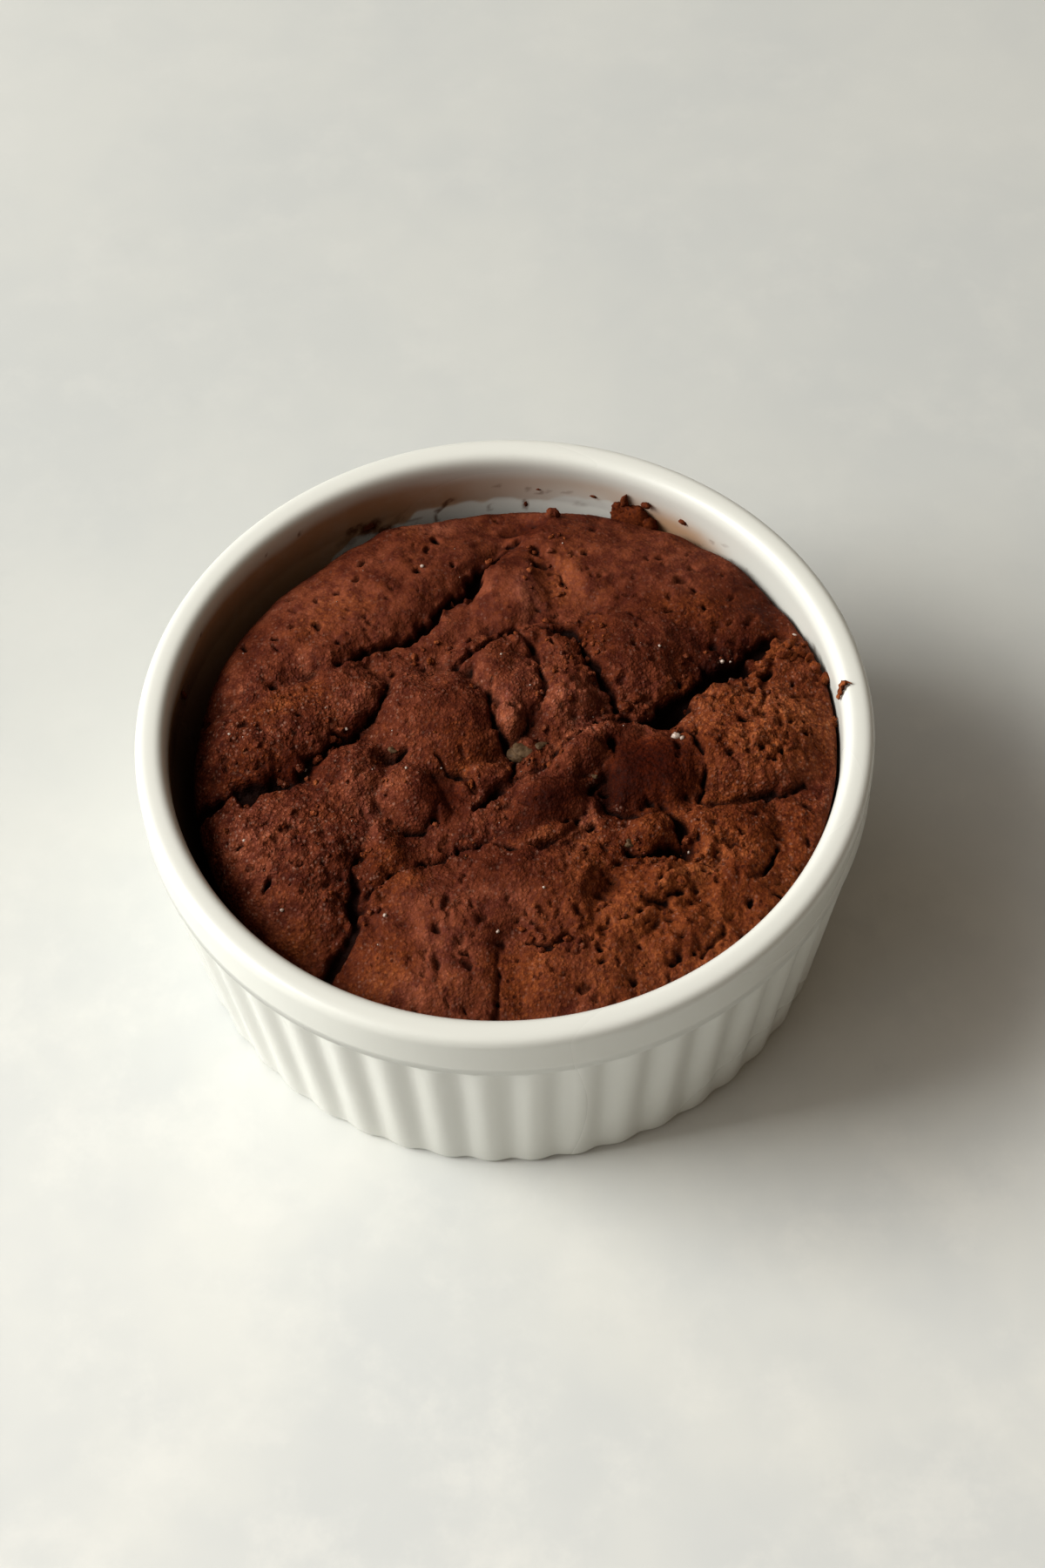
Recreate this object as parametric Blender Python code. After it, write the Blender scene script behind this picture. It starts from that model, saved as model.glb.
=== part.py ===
"""Ramekin of banana bread: a white fluted ceramic dish with a dark, cracked cake baked in it.

Units are metres and +Z is up. The dish stands on z = 0 with its centre on the Z axis. The shown
front faces -Y. Relief on the crust is given in millimetres and scaled by MM when meshes are made.
"""

import math

import bmesh
import bpy
import numpy as np

MM = 0.001

# Dish, outside
RIM_RADIUS = 52.0
DISH_HEIGHT = 43.5
RIM_ROUND = 2.1
RIM_SQUARENESS = 2.6
RIM_CREST = 49.9
RIM_INSIDE = 3.2
BAND_BOTTOM = 34.6
BAND_STEP = 0.2
BASE_RADIUS = 47.7
BASE_ROUND = 1.3
FLUTES = 47
FLUTE_DEPTH = 0.85
FLUTE_TURN = math.radians(-88.3)
FLUTE_VALLEY_ROUND = 0.6
FLUTE_END = 1.6
FLUTE_FOOT_SHARE = 0.6
FLUTE_SIDES = 4

# Dish, inside and underneath
INNER_RADIUS = 47.5
TAPER_TOP = 34.0
FLOOR_TOP = 5.0
FLOOR_FILLET = 4.0
FLOOR_RADIUS = 43.6
FOOT_WIDTH = 2.8
FOOT_RECESS = 1.2

# Cake
CAKE_TOP = 41.2
CAKE_RINGS = 32
DOME_POWER = 2.6
WALL_GAP = 0.3
NARROWEST_FISSURE = 1.5
DEEPEST_FISSURE = 4.5

# The crust's edge: azimuth in degrees from +X, radius, height, and the rounding of its shoulder.
# The cake has shrunk from the dish at the left and the back, and rose most at the right.
CRUST_EDGE = (
    (0, 47.2, 38.6, 1.6),
    (30, 47.2, 37.2, 2.0),
    (52, 47.2, 36.2, 2.4),
    (75, 46, 35.4, 2.8),
    (97, 45, 35.0, 3.0),
    (112, 45, 36.2, 3.4),
    (130, 44.4, 35.7, 3.8),
    (155, 44.1, 37.3, 3.8),
    (180, 44.4, 37.6, 5.0),
    (207, 44.8, 37.0, 6.5),
    (228, 46, 36.6, 5.5),
    (245, 47, 36.2, 3.2),
    (275, 47.2, 36.0, 2.0),
    (320, 47.2, 37.2, 1.8),
)

# Lumps that the crust rose in: x, y, half length, half width, turn in degrees, rise above the dome
CREASE_DEPTH = 2.6
LUMPS = (
    (-21, 26.5, 25, 12.5, 33, 1.2),
    (-36, 15, 9, 8, 40, 0.4),
    (-24.5, 15, 4.6, 3.6, 30, 0.9),
    (-21.5, 8.5, 5.6, 5.2, 0, 1.4),
    (-32, 2.5, 12.5, 8.5, 20, 1.3),
    (-10, 16.5, 14, 5.5, 28, -0.8),
    (-8.8, 2.2, 10.2, 9.4, -35, 2.2),
    (9.4, 6.6, 6.4, 10.4, 6, 1.3),
    (1.2, 8.6, 8.8, 4.6, -72, 2.2),
    (5.2, 7.4, 3.4, 8.4, 5, 1.1),
    (1.7, 1.6, 2.7, 3.3, 0, 2.2),
    (0.5, 15.2, 9.5, 3.4, 16, 1.0),
    (10.6, 14.6, 4.6, 4.4, -50, 1.2),
    (2.8, 26.5, 6.4, 9.0, -15, 1.0),
    (14, 33, 13, 10, -20, 0.9),
    (27, 25, 17, 12, -40, 0.9),
    (19.8, 13.5, 8.6, 9.6, -10, 1.5),
    (36, 17, 9, 6, -25, 0.4),
    (35.5, -1.5, 11.8, 11.8, 0, 1.7),
    (42, 9.5, 6.5, 5.5, 20, 0.3),
    (21.4, -7, 6.6, 7.4, 0, 0.6),
    (12, -3.8, 8.8, 3.6, 38, 1.0),
    (5.6, -12.6, 6.6, 4.0, 22, 0.7),
    (3, -18.4, 8.5, 2.0, 14, 0.3),
    (-2.6, -8.4, 3.6, 3.0, 40, 0.1),
    (-13, -10, 5.0, 6.4, 15, 1.4),
    (-21.5, -6.2, 7.2, 7.0, 0, 1.0),
    (-33, -18.5, 13.4, 15.0, 15, 1.4),
    (-18, -20.5, 4.0, 8.0, -15, 0.2),
    (-10.5, -33.5, 12.6, 13.2, 15, 1.4),
    (3.5, -26, 11.5, 8.5, -5, 1.0),
    (7.5, -37.5, 10.5, 8, 5, 0.8),
    (20.6, -18.2, 4.0, 3.4, 0, 0.6),
    (30.8, -17.6, 7.6, 6.0, 15, 1.0),
    (19, -28, 9, 5, 30, 0.5),
    (33, -26, 9, 6, 38, 0.6),
    (42, -17.5, 5, 8.5, -25, 0.5),
    (24, -35, 10, 5, 30, 0.3),
)
# Sunken places: x, y, half length, half width, turn, depth
HOLLOWS = (
    (12.5, -26.5, 3.6, 3.2, 0, 0.8),
    (4.5, 38.6, 4.6, 2.4, 0, 1.6),
    (15.0, -10.8, 2.0, 4.6, -12, 1.4),
    (-16.5, -3.5, 3.0, 2.4, 0, 0.9),
    (24.5, -20.6, 2.6, 2.2, 0, 1.2),
)

# Fissures: points along each one as x, y, half width, depth, in mm
FISSURES = (
    ((4, 36.5, 0.5, 0.8), (1, 33.6, 0.7, 2.0), (-1.0, 30.6, 1.1, 3.6), (-3.9, 27.2, 1.2, 4.4), (-6.8, 24.6, 0.9, 3.0),
     (-8.8, 22.2, 0.9, 2.8), (-10.8, 19.8, 1.1, 3.4), (-13, 18, 1.2, 3.6), (-16, 16.6, 1.0, 2.4),
     (-19.4, 15.2, 1.0, 2.8), (-21.6, 13.8, 1.1, 3.2), (-23.6, 12.8, 0.5, 1)),
    ((-15.8, 9.6, 0.4, 0.8), (-17, 6.8, 0.8, 2.2), (-19.8, 4.0, 1.2, 3.2), (-21.8, 2.0, 1.6, 4.2),
     (-24.8, -0.9, 1.8, 4.6), (-27.4, -3.2, 1.4, 3.6), (-30.6, -4.8, 1.4, 3.4), (-34, -5.8, 1.7, 4.2),
     (-38, -6.6, 2.2, 5), (-44, -7.8, 2.6, 6)),
    ((-6.5, 11.2, 0.5, 1.0), (-4.2, 12.8, 0.8, 2.0), (-1.6, 15.0, 0.7, 1.8), (1.4, 17.0, 0.9, 2.4),
     (4.8, 17.9, 0.9, 2.4), (8.6, 17.8, 1.2, 2.8), (11.6, 15.8, 1.7, 3.4),
     (13.6, 11, 1.5, 3.4), (15, 7, 1.0, 2.6), (16.6, 3.4, 0.8, 2.2)),
    ((4.4, 16.0, 0.4, 1.0), (5.2, 13.6, 0.6, 1.8), (6.0, 10.8, 0.5, 1.6), (6.3, 7.4, 0.6, 1.8), (5.4, 3.6, 0.4, 1.0),
     (4.4, 0.6, 0.4, 1.0)),
    ((41, 16.0, 0.7, 1.6), (37.6, 13.2, 1.8, 3.6), (34.6, 11.6, 2.3, 4.4), (31.8, 10.0, 2.3, 5), (28.6, 7.8, 1.9, 4.6),
     (25.6, 4.8, 2.0, 5.5), (23.2, 1.8, 2.3, 7), (21, 1.6, 1.4, 4), (17.6, 1.6, 0.7, 2), (14, 0.4, 0.6, 1.6),
     (11, -1.8, 0.5, 1.6), (8.5, -3.4, 0.5, 1.4), (5, -7, 0.5, 1.2), (1.6, -8.0, 1.2, 2.8), (-1.5, -10.2, 1.2, 3.0),
     (-4.5, -13, 0.6, 1.2)),
    ((-0.7, 7.2, 0.3, 0.6), (-1.6, 3.4, 0.5, 1.4), (-1.2, 0.4, 0.6, 1.8), (0.6, -2.4, 0.8, 2.2), (1.4, -5, 0.8, 2),
     (1, -8, 0.7, 1.8)),
    ((15.6, -3.6, 0.9, 4), (15, -6.4, 0.5, 1.2), (13, -9.6, 0.8, 2.2), (12.2, -11.2, 1.0, 3.6), (13.2, -13.6, 0.7, 1.8),
     (15.6, -15.6, 0.7, 1.8), (18.5, -15.4, 0.5, 1.2), (22.4, -14.9, 0.6, 1.6), (24.2, -17.6, 1.0, 3),
     (23.8, -20.2, 1.3, 3.2), (20.4, -21.2, 1.3, 3.0), (17, -20.4, 1.0, 2.2)),
    ((25, -0.8, 0.7, 2.4), (27.4, -4.6, 0.7, 2), (27.8, -9, 0.7, 1.8), (26.4, -13.2, 0.6, 1.6), (30.6, -14.2, 0.5, 1.4),
     (36, -13.4, 0.7, 1.8), (42, -11.6, 0.5, 1.2)),
    ((-21, -29.5, 0.7, 1.8), (-18.4, -26, 0.5, 1.2), (-15, -23.6, 0.5, 1.2), (-10, -21.2, 0.5, 1.2),
     (-6, -19.8, 0.5, 1.2), (0, -20.4, 0.4, 1), (4.4, -20.2, 0.5, 1.2), (8, -17.6, 0.4, 1), (10.4, -14.6, 0.4, 1.2)),
    ((-20.6, -19.5, 0.7, 1), (-21.6, -24, 0.8, 1.6), (-21.6, -28.5, 1.0, 2), (-23.4, -32, 0.9, 2),
     (-26, -36.5, 1.2, 3), (-28, -39, 1.2, 3.4)),
    ((-2.2, -35, 0.4, 0.5), (-2.2, -39, 0.5, 0.8), (-2.8, -46, 0.8, 1.6)),
    ((-9.6, -4, 0.7, 1.8), (-8, -6.6, 0.5, 1.2), (-5.8, -8, 0.6, 1.6), (-4, -10, 0.5, 1.4)),
    ((-14, -15.4, 0.5, 1), (-11, -15.8, 0.7, 1.6), (-9.2, -12.4, 0.5, 1)),
    ((17, -30.6, 0.5, 1.2), (20, -29, 0.7, 1.6), (22.8, -27.2, 0.7, 1.8)),
    ((33.6, -26, 0.5, 1), (36, -23.2, 0.9, 2.8), (37.4, -20.6, 0.6, 1.4)),
    ((25, -36.6, 0.7, 2), (28, -33.6, 0.6, 1.6), (27.6, -31.6, 0.4, 0.8)),
    ((2.4, -34, 0.5, 1.2), (4.6, -34.6, 0.8, 2.4), (7, -33.4, 0.6, 1.6)),
    ((8.4, 27.6, 0.4, 1.0), (10.2, 27, 0.45, 1.6), (10.6, 25.2, 0.45, 1.6), (9, 24, 0.4, 1.4)),
)


def clear_scene():
    for item in list(bpy.data.objects):
        bpy.data.objects.remove(item, do_unlink=True)


def material(name, colour, roughness):
    made = bpy.data.materials.new(name)
    made.use_nodes = True
    shader = made.node_tree.nodes["Principled BSDF"]
    shader.inputs["Base Color"].default_value = (*colour, 1.0)
    shader.inputs["Roughness"].default_value = roughness
    shader.inputs["Metallic"].default_value = 0.0
    return made


def add_object(name, points, faces, surface):
    """One closed mesh from points in millimetres, shaded smooth with its true edges kept sharp."""
    shape = bmesh.new()
    corners = [shape.verts.new([value * MM for value in point]) for point in points]
    for face in faces:
        shape.faces.new([corners[index] for index in face])
    bmesh.ops.recalc_face_normals(shape, faces=shape.faces)
    mesh = bpy.data.meshes.new(name)
    shape.to_mesh(mesh)
    shape.free()
    mesh.shade_smooth()
    mesh.set_sharp_from_angle(angle=math.radians(50))
    mesh.materials.append(surface)
    made = bpy.data.objects.new(name, mesh)
    bpy.context.collection.objects.link(made)
    return made


class RingMesh:
    """A closed surface built from rings of points, each joined to the one before it."""

    def __init__(self):
        self.points = []
        self.faces = []
        self.last = []

    def ring(self, points):
        start = len(self.points)
        self.points.extend(points)
        ring = list(range(start, len(self.points)))
        if self.last:
            self.join(self.last, ring)
        self.last = ring

    def join(self, first, second):
        """Quads between rings of one count, or triangles where one ring has half the other's."""
        if len(first) < len(second):
            first, second = second, first
        step = len(first) // len(second)
        for i in range(len(second)):
            a = [first[(i * step + k) % len(first)] for k in range(step + 1)]
            c = second[i]
            d = second[(i + 1) % len(second)]
            if step == 1:
                self.faces.append((a[0], a[1], d, c))
            else:
                self.faces += [(a[0], a[1], c), (a[1], d, c), (a[1], a[2], d)]

    def cap(self, point):
        """Closes the last ring with a fan to one middle point."""
        self.points.append(point)
        middle = len(self.points) - 1
        for i, corner in enumerate(self.last):
            self.faces.append((corner, self.last[(i + 1) % len(self.last)], middle))


def circle(radius, z, count):
    turns = [FLUTE_TURN + 2 * math.pi * i / count for i in range(count)]
    return [(radius * math.cos(a), radius * math.sin(a), z) for a in turns]


def flute_valley(turn):
    """0 on a flute's crest and 1 in the valley between two flutes."""
    wave = math.cos(FLUTES * (turn - FLUTE_TURN) / 2)
    soft = FLUTE_VALLEY_ROUND
    top = math.hypot(1, soft)
    return (top - math.hypot(wave, soft)) / (top - soft)


def fluted_ring(crest, z, share):
    """A ring whose valleys are cut in by that share of the flutes' full depth."""
    count = FLUTES * FLUTE_SIDES
    ring = []
    for i in range(count):
        turn = FLUTE_TURN + 2 * math.pi * i / count
        radius = crest - share * FLUTE_DEPTH * flute_valley(turn)
        ring.append((radius * math.cos(turn), radius * math.sin(turn), z))
    return ring


def crest_radius(z):
    """The radius of the flutes' crests, which lean out from the base to the band."""
    rise = (z - BASE_ROUND) / (BAND_BOTTOM - BASE_ROUND)
    return BASE_RADIUS + (RIM_RADIUS - BAND_STEP - BASE_RADIUS) * rise


def wall_radius(z):
    """The radius of the dish's inner wall at a height above its floor's fillet."""
    share = (z - FLOOR_TOP - FLOOR_FILLET) / (TAPER_TOP - FLOOR_TOP - FLOOR_FILLET)
    return FLOOR_RADIUS + (INNER_RADIUS - FLOOR_RADIUS) * min(share, 1.0)


def squared_turn(degrees):
    """Across and up shares of a quarter round that is squarer than a circle's."""
    turn = math.radians(degrees)
    return max(0.0, math.cos(turn)) ** (2 / RIM_SQUARENESS), math.sin(turn) ** (2 / RIM_SQUARENESS)


def build_ramekin(surface):
    plain = FLUTES * FLUTE_SIDES // 2
    foot_outer = BASE_RADIUS - BASE_ROUND
    dish = RingMesh()
    dish.ring(circle(foot_outer - FOOT_WIDTH - FOOT_RECESS, FOOT_RECESS, plain))
    under = list(dish.last)
    dish.ring(circle(foot_outer - FOOT_WIDTH, 0.0, plain))
    dish.ring(fluted_ring(foot_outer, 0.0, 0.6 * FLUTE_FOOT_SHARE))
    lean = BASE_ROUND * math.sin(math.radians(45))
    dish.ring(fluted_ring(foot_outer + lean, BASE_ROUND - lean, 0.9 * FLUTE_FOOT_SHARE))
    for z, share in (
        (BASE_ROUND, FLUTE_FOOT_SHARE),
        (BASE_ROUND + 0.3 * (BAND_BOTTOM - BASE_ROUND), 0.9),
        (BAND_BOTTOM - FLUTE_END, 1.0),
        (BAND_BOTTOM - 0.45 * FLUTE_END, 0.85),
        (BAND_BOTTOM - 0.12 * FLUTE_END, 0.5),
        (BAND_BOTTOM, 0.0),
    ):
        dish.ring(fluted_ring(crest_radius(z), z, share))
    dish.ring(circle(RIM_RADIUS, BAND_BOTTOM + BAND_STEP, plain))
    rim_z = DISH_HEIGHT - RIM_ROUND
    for degrees in range(0, 91, 30):
        across, up = squared_turn(degrees)
        dish.ring(circle(RIM_CREST + (RIM_RADIUS - RIM_CREST) * across, rim_z + RIM_ROUND * up, plain))
    for degrees in range(60, -1, -30):
        across, up = squared_turn(degrees)
        dish.ring(circle(RIM_CREST - (RIM_CREST - INNER_RADIUS) * across, DISH_HEIGHT - RIM_INSIDE * (1 - up), plain))
    dish.ring(circle(INNER_RADIUS, TAPER_TOP, plain))
    for degrees in range(0, 91, 30):
        turn = math.radians(degrees)
        radius = FLOOR_RADIUS - FLOOR_FILLET * (1 - math.cos(turn))
        dish.ring(circle(radius, FLOOR_TOP + FLOOR_FILLET * (1 - math.sin(turn)), plain))
    dish.cap((0.0, 0.0, FLOOR_TOP))
    dish.last = under
    dish.cap((0.0, 0.0, FOOT_RECESS))
    add_object("ramekin", dish.points, dish.faces, surface)


def smooth_path(points, step=0.5):
    """Points close together along a smooth curve through the given ones, column by column."""
    given = np.array(points, float)
    given = np.vstack([2 * given[0] - given[1], given, 2 * given[-1] - given[-2]])
    runs = []
    for before, start, end, after in zip(given, given[1:], given[2:], given[3:]):
        count = max(2, int(np.hypot(*(end - start)[:2]) / step))
        t = np.arange(count)[:, None] / count
        linear = (end - before) * t
        square = (2 * before - 5 * start + 4 * end - after) * t**2
        cube = (after - before + 3 * (start - end)) * t**3
        runs.append(0.5 * (2 * start + linear + square + cube))
    runs.append(given[-2:-1])
    return np.vstack(runs)


def crust_edge(turn):
    """The edge's radius, height and rounding at each azimuth, in radians."""
    table = np.array(CRUST_EDGE, float)
    full_turn = np.array((360, 0, 0, 0), float)
    table = np.vstack([table[-1] - full_turn, table, table[0] + full_turn])
    line = smooth_path(table, step=2.0)
    degrees = np.degrees(turn) % 360
    return [np.interp(degrees, line[:, 0], line[:, column]) for column in (1, 2, 3)]


def fissure_depth(x, y):
    """How far the fissures lower the crust: a steep slot inside a soft, wide valley."""
    slot = np.zeros_like(x)
    valley = np.zeros_like(x)
    for points in FISSURES:
        path = smooth_path(points)
        nearest = np.full_like(x, np.inf)
        width = np.ones_like(x)
        depth = np.zeros_like(x)
        for start, end in zip(path, path[1:]):
            run = end - start
            t = ((x - start[0]) * run[0] + (y - start[1]) * run[1]) / (run[0] ** 2 + run[1] ** 2)
            t = np.clip(t, 0, 1)
            away = np.hypot(x - start[0] - t * run[0], y - start[1] - t * run[1])
            closer = away < nearest
            nearest = np.where(closer, away, nearest)
            width = np.where(closer, start[2] + t * run[2], width)
            depth = np.where(closer, start[3] + t * run[3], depth)
        depth = np.minimum(depth * np.minimum(width / NARROWEST_FISSURE, 1) ** 0.3, DEEPEST_FISSURE)
        width = np.maximum(width, NARROWEST_FISSURE)
        inside = np.clip(1.5 - nearest / width, 0, 1)
        slot = np.maximum(slot, 0.7 * depth * inside**2 * (3 - 2 * inside))
        valley = np.maximum(valley, 0.3 * depth * np.exp(-((nearest / (width + 2.0)) ** 2)))
    return slot + valley


def squared_reach(x, y, centre_x, centre_y, length, width, turn):
    """0 at the middle of a turned ellipse, 1 on its outline."""
    c, s = math.cos(math.radians(turn)), math.sin(math.radians(turn))
    along = ((x - centre_x) * c + (y - centre_y) * s) / length
    across = ((y - centre_y) * c - (x - centre_x) * s) / width
    return along**2 + across**2


def smooth_highest(a, b, blend):
    """The higher of two surfaces, rounded where they meet."""
    near = np.clip(blend - np.abs(a - b), 0, None)
    return np.maximum(a, b) + near**2 / (4 * blend)


def crust_height(x, y):
    """The height of the cake's top at points in millimetres."""
    edge_radius, edge_height, rounding = crust_edge(np.arctan2(y, x))
    radius = np.hypot(x, y)
    share = np.clip(radius / edge_radius, 0, 1)
    height = CAKE_TOP - (CAKE_TOP - edge_height) * share**DOME_POWER
    fade = np.clip((1 - share) / 0.08, 0, 1)
    lumpy = np.full_like(x, -0.75 * CREASE_DEPTH)
    for lump_x, lump_y, length, width, turn, rise in LUMPS:
        away = squared_reach(x, y, lump_x, lump_y, length, width, turn)
        lump = (CREASE_DEPTH + rise) * np.clip(1 - away, 0, 1) ** 0.5 - CREASE_DEPTH
        lumpy = smooth_highest(lumpy, lump, 1.3)
    for hollow_x, hollow_y, length, width, turn, depth in HOLLOWS:
        away = squared_reach(x, y, hollow_x, hollow_y, length, width, turn)
        lumpy -= depth * np.clip(1 - away, 0, 1) ** 1.5
    height += lumpy * (0.45 + 0.55 * fade)
    height -= fissure_depth(x, y) * (0.5 + 0.5 * fade)
    round_part = np.clip((radius - edge_radius) / rounding + 1, 0, 1)
    return height - rounding * (1 - np.sqrt(1 - round_part**2))


def build_cake(surface):
    """The crust is a disc of rings; the side follows the dish's wall, with a gap where it shrank."""
    cake = RingMesh()
    cake.points.append((0.0, 0.0, float(crust_height(np.zeros(1), np.zeros(1))[0])))
    previous = [0]
    for k in range(1, CAKE_RINGS + 1):
        turns = 2 * math.pi * np.arange(6 * k) / (6 * k)
        radius = crust_edge(turns)[0] * k / CAKE_RINGS
        x, y = radius * np.cos(turns), radius * np.sin(turns)
        heights = crust_height(x, y)
        start = len(cake.points)
        cake.points += [tuple(map(float, point)) for point in zip(x, y, heights)]
        ring = list(range(start, start + 6 * k))
        for sector in range(6):
            for i in range(k):
                a = ring[sector * k + i]
                b = ring[(sector * k + i + 1) % (6 * k)]
                c = previous[(sector * (k - 1) + i) % len(previous)]
                cake.faces.append((a, b, c))
                if i < k - 1:
                    d = previous[(sector * (k - 1) + i + 1) % len(previous)]
                    cake.faces.append((b, d, c))
        previous = ring
    cake.last = previous
    turns = 2 * math.pi * np.arange(len(previous)) / len(previous)
    edge = crust_edge(turns)[0]
    middle_z = FLOOR_TOP + FLOOR_FILLET
    rows = [(z, wall_radius(z) - WALL_GAP) for z in (23.0, middle_z)]
    for degrees in (45, 90):
        turn = math.radians(degrees)
        inset = FLOOR_FILLET * (1 - math.cos(turn))
        rows.append((middle_z + WALL_GAP - FLOOR_FILLET * math.sin(turn), FLOOR_RADIUS - WALL_GAP - inset))
    for z, wall in rows:
        radius = np.minimum(edge, wall)
        cake.ring([(r * math.cos(a), r * math.sin(a), z) for r, a in zip(radius, turns)])
    cake.cap((0.0, 0.0, FLOOR_TOP + WALL_GAP))
    add_object("banana_bread", cake.points, cake.faces, surface)


clear_scene()
build_ramekin(material("white_glaze", (0.80, 0.80, 0.76), 0.25))
build_cake(material("brown_crust", (0.12, 0.045, 0.022), 0.75))
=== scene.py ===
"""Looks of the ramekin of banana bread: glaze, stains, crust, crumbs, floor, light and camera.

Lengths in the tables are in millimetres, and MM brings them to metres.
"""

import math

import bpy
import numpy as np
from mathutils import Matrix, Vector


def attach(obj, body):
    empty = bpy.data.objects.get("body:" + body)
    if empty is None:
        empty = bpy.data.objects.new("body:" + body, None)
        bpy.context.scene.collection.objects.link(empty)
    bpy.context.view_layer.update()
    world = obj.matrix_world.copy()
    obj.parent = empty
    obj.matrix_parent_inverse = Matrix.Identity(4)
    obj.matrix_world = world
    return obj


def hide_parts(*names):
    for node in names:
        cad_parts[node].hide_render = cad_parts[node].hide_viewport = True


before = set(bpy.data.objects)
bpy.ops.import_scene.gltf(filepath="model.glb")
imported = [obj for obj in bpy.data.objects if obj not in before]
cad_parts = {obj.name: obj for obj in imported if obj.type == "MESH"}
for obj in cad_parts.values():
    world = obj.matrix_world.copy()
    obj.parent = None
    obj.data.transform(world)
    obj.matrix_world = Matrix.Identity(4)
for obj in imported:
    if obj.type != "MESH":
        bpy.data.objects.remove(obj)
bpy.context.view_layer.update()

MM = 0.001

# Dish. Its form is the CAD's, but for a slightly squarer rim, a shallower step below the band and the lean.
RIM_RADIUS = 52.0
DISH_HEIGHT = 43.5
RIM_ROUND = 2.1
RIM_SQUARENESS = 2.9
RIM_CREST = 49.9
RIM_INSIDE = 3.2
BAND_BOTTOM = 34.6
BAND_STEP = 0.18
BAND_LIFT = 0.15
BAND_PLAIN = 0.6
BASE_RADIUS = 47.7
BASE_ROUND = 1.3
FLUTES = 47
FLUTE_DEPTH = 0.85
FLUTE_TURN = math.radians(-88.3)
FLUTE_VALLEY_ROUND = 0.6
FLUTE_END = 1.6
FLUTE_FOOT_SHARE = 0.6
FLUTE_SIDES = 14
INNER_RADIUS = 47.5
LEAN = (0.35, -0.4)
TAPER_TOP = 34.0
SHOWN_WALL = 27.0
WALL_STEP = 0.4
FLOOR_TOP = 5.0
FLOOR_FILLET = 4.0
FLOOR_RADIUS = 43.6
FOOT_WIDTH = 2.8
FOOT_RECESS = 1.2
FOOT_BEVEL = 0.3

# Cake. Its lumps and hollows are the CAD's. Its right edge and some fissures follow the photo more closely.
CAKE_TOP = 41.2
CAKE_RINGS = 165
DOME_POWER = 2.6
WALL_GAP = 0.3

# The crust's edge: azimuth in degrees from +X, radius, height, and the rounding of its shoulder
CRUST_EDGE = (
    (0, 47.35, 38.6, 0.8), (30, 47.25, 37.2, 1.6), (52, 47.2, 36.2, 2.4), (75, 46, 35.4, 2.8),
    (97, 45, 35, 3), (112, 45, 36.2, 3.4), (130, 44.4, 35.7, 3.8), (155, 44.1, 37.3, 3.8),
    (180, 44.4, 37.6, 5), (207, 44.8, 37, 6.5), (228, 46, 36.6, 5.5), (245, 47, 36.2, 3.2),
    (275, 47.2, 36, 2), (320, 47.3, 37.2, 1),
)

# Lumps that the crust rose in: x, y, half length, half width, turn in degrees, rise above the dome
LUMPS = (
    (-21, 26.5, 25, 12.5, 33, 1.2), (-36, 15, 9, 8, 40, 0.4), (-24.5, 15, 4.6, 3.6, 30, 0.9),
    (-21.5, 8.5, 5.6, 5.2, 0, 1.4), (-32, 2.5, 12.5, 8.5, 20, 1.3), (-10, 16.5, 14, 5.5, 28, -0.8),
    (-8.8, 2.2, 10.2, 9.4, -35, 2.2), (9.4, 6.6, 6.4, 10.4, 6, 1.3), (1.2, 8.6, 8.8, 4.6, -72, 2.2),
    (5.2, 7.4, 3.4, 8.4, 5, 1.1), (1.7, 1.6, 2.7, 3.3, 0, 2.2), (0.5, 15.2, 9.5, 3.4, 16, 1),
    (10.6, 14.6, 4.6, 4.4, -50, 1.2), (2.8, 26.5, 6.4, 9, -15, 1), (14, 33, 13, 10, -20, 0.9),
    (27, 25, 17, 12, -40, 0.9), (19.8, 13.5, 8.6, 9.6, -10, 1.5), (36, 17, 9, 6, -25, 0.4),
    (35.5, -1.5, 11.8, 11.8, 0, 1.7), (42, 9.5, 6.5, 5.5, 20, 0.3), (21.4, -7, 6.6, 7.4, 0, 0.6),
    (12, -3.8, 8.8, 3.6, 38, 1), (5.6, -12.6, 6.6, 4, 22, 0.7), (3, -18.4, 8.5, 2, 14, 0.3),
    (-2.6, -8.4, 3.6, 3, 40, 0.1), (-13, -10, 5, 6.4, 15, 1.4), (-21.5, -6.2, 7.2, 7, 0, 1),
    (-33, -18.5, 13.4, 15, 15, 1.4), (-18, -20.5, 4, 8, -15, 0.2),
    (-10.5, -33.5, 12.6, 13.2, 15, 1.4), (3.5, -26, 11.5, 8.5, -5, 1), (7.5, -37.5, 10.5, 8, 5, 0.8),
    (20.6, -18.2, 4, 3.4, 0, 0.6), (30.8, -17.6, 7.6, 6, 15, 1), (19, -28, 9, 5, 30, 0.5),
    (33, -26, 9, 6, 38, 0.6), (42, -17.5, 5, 8.5, -25, 0.5), (24, -35, 10, 5, 30, 0.3),
)
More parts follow.
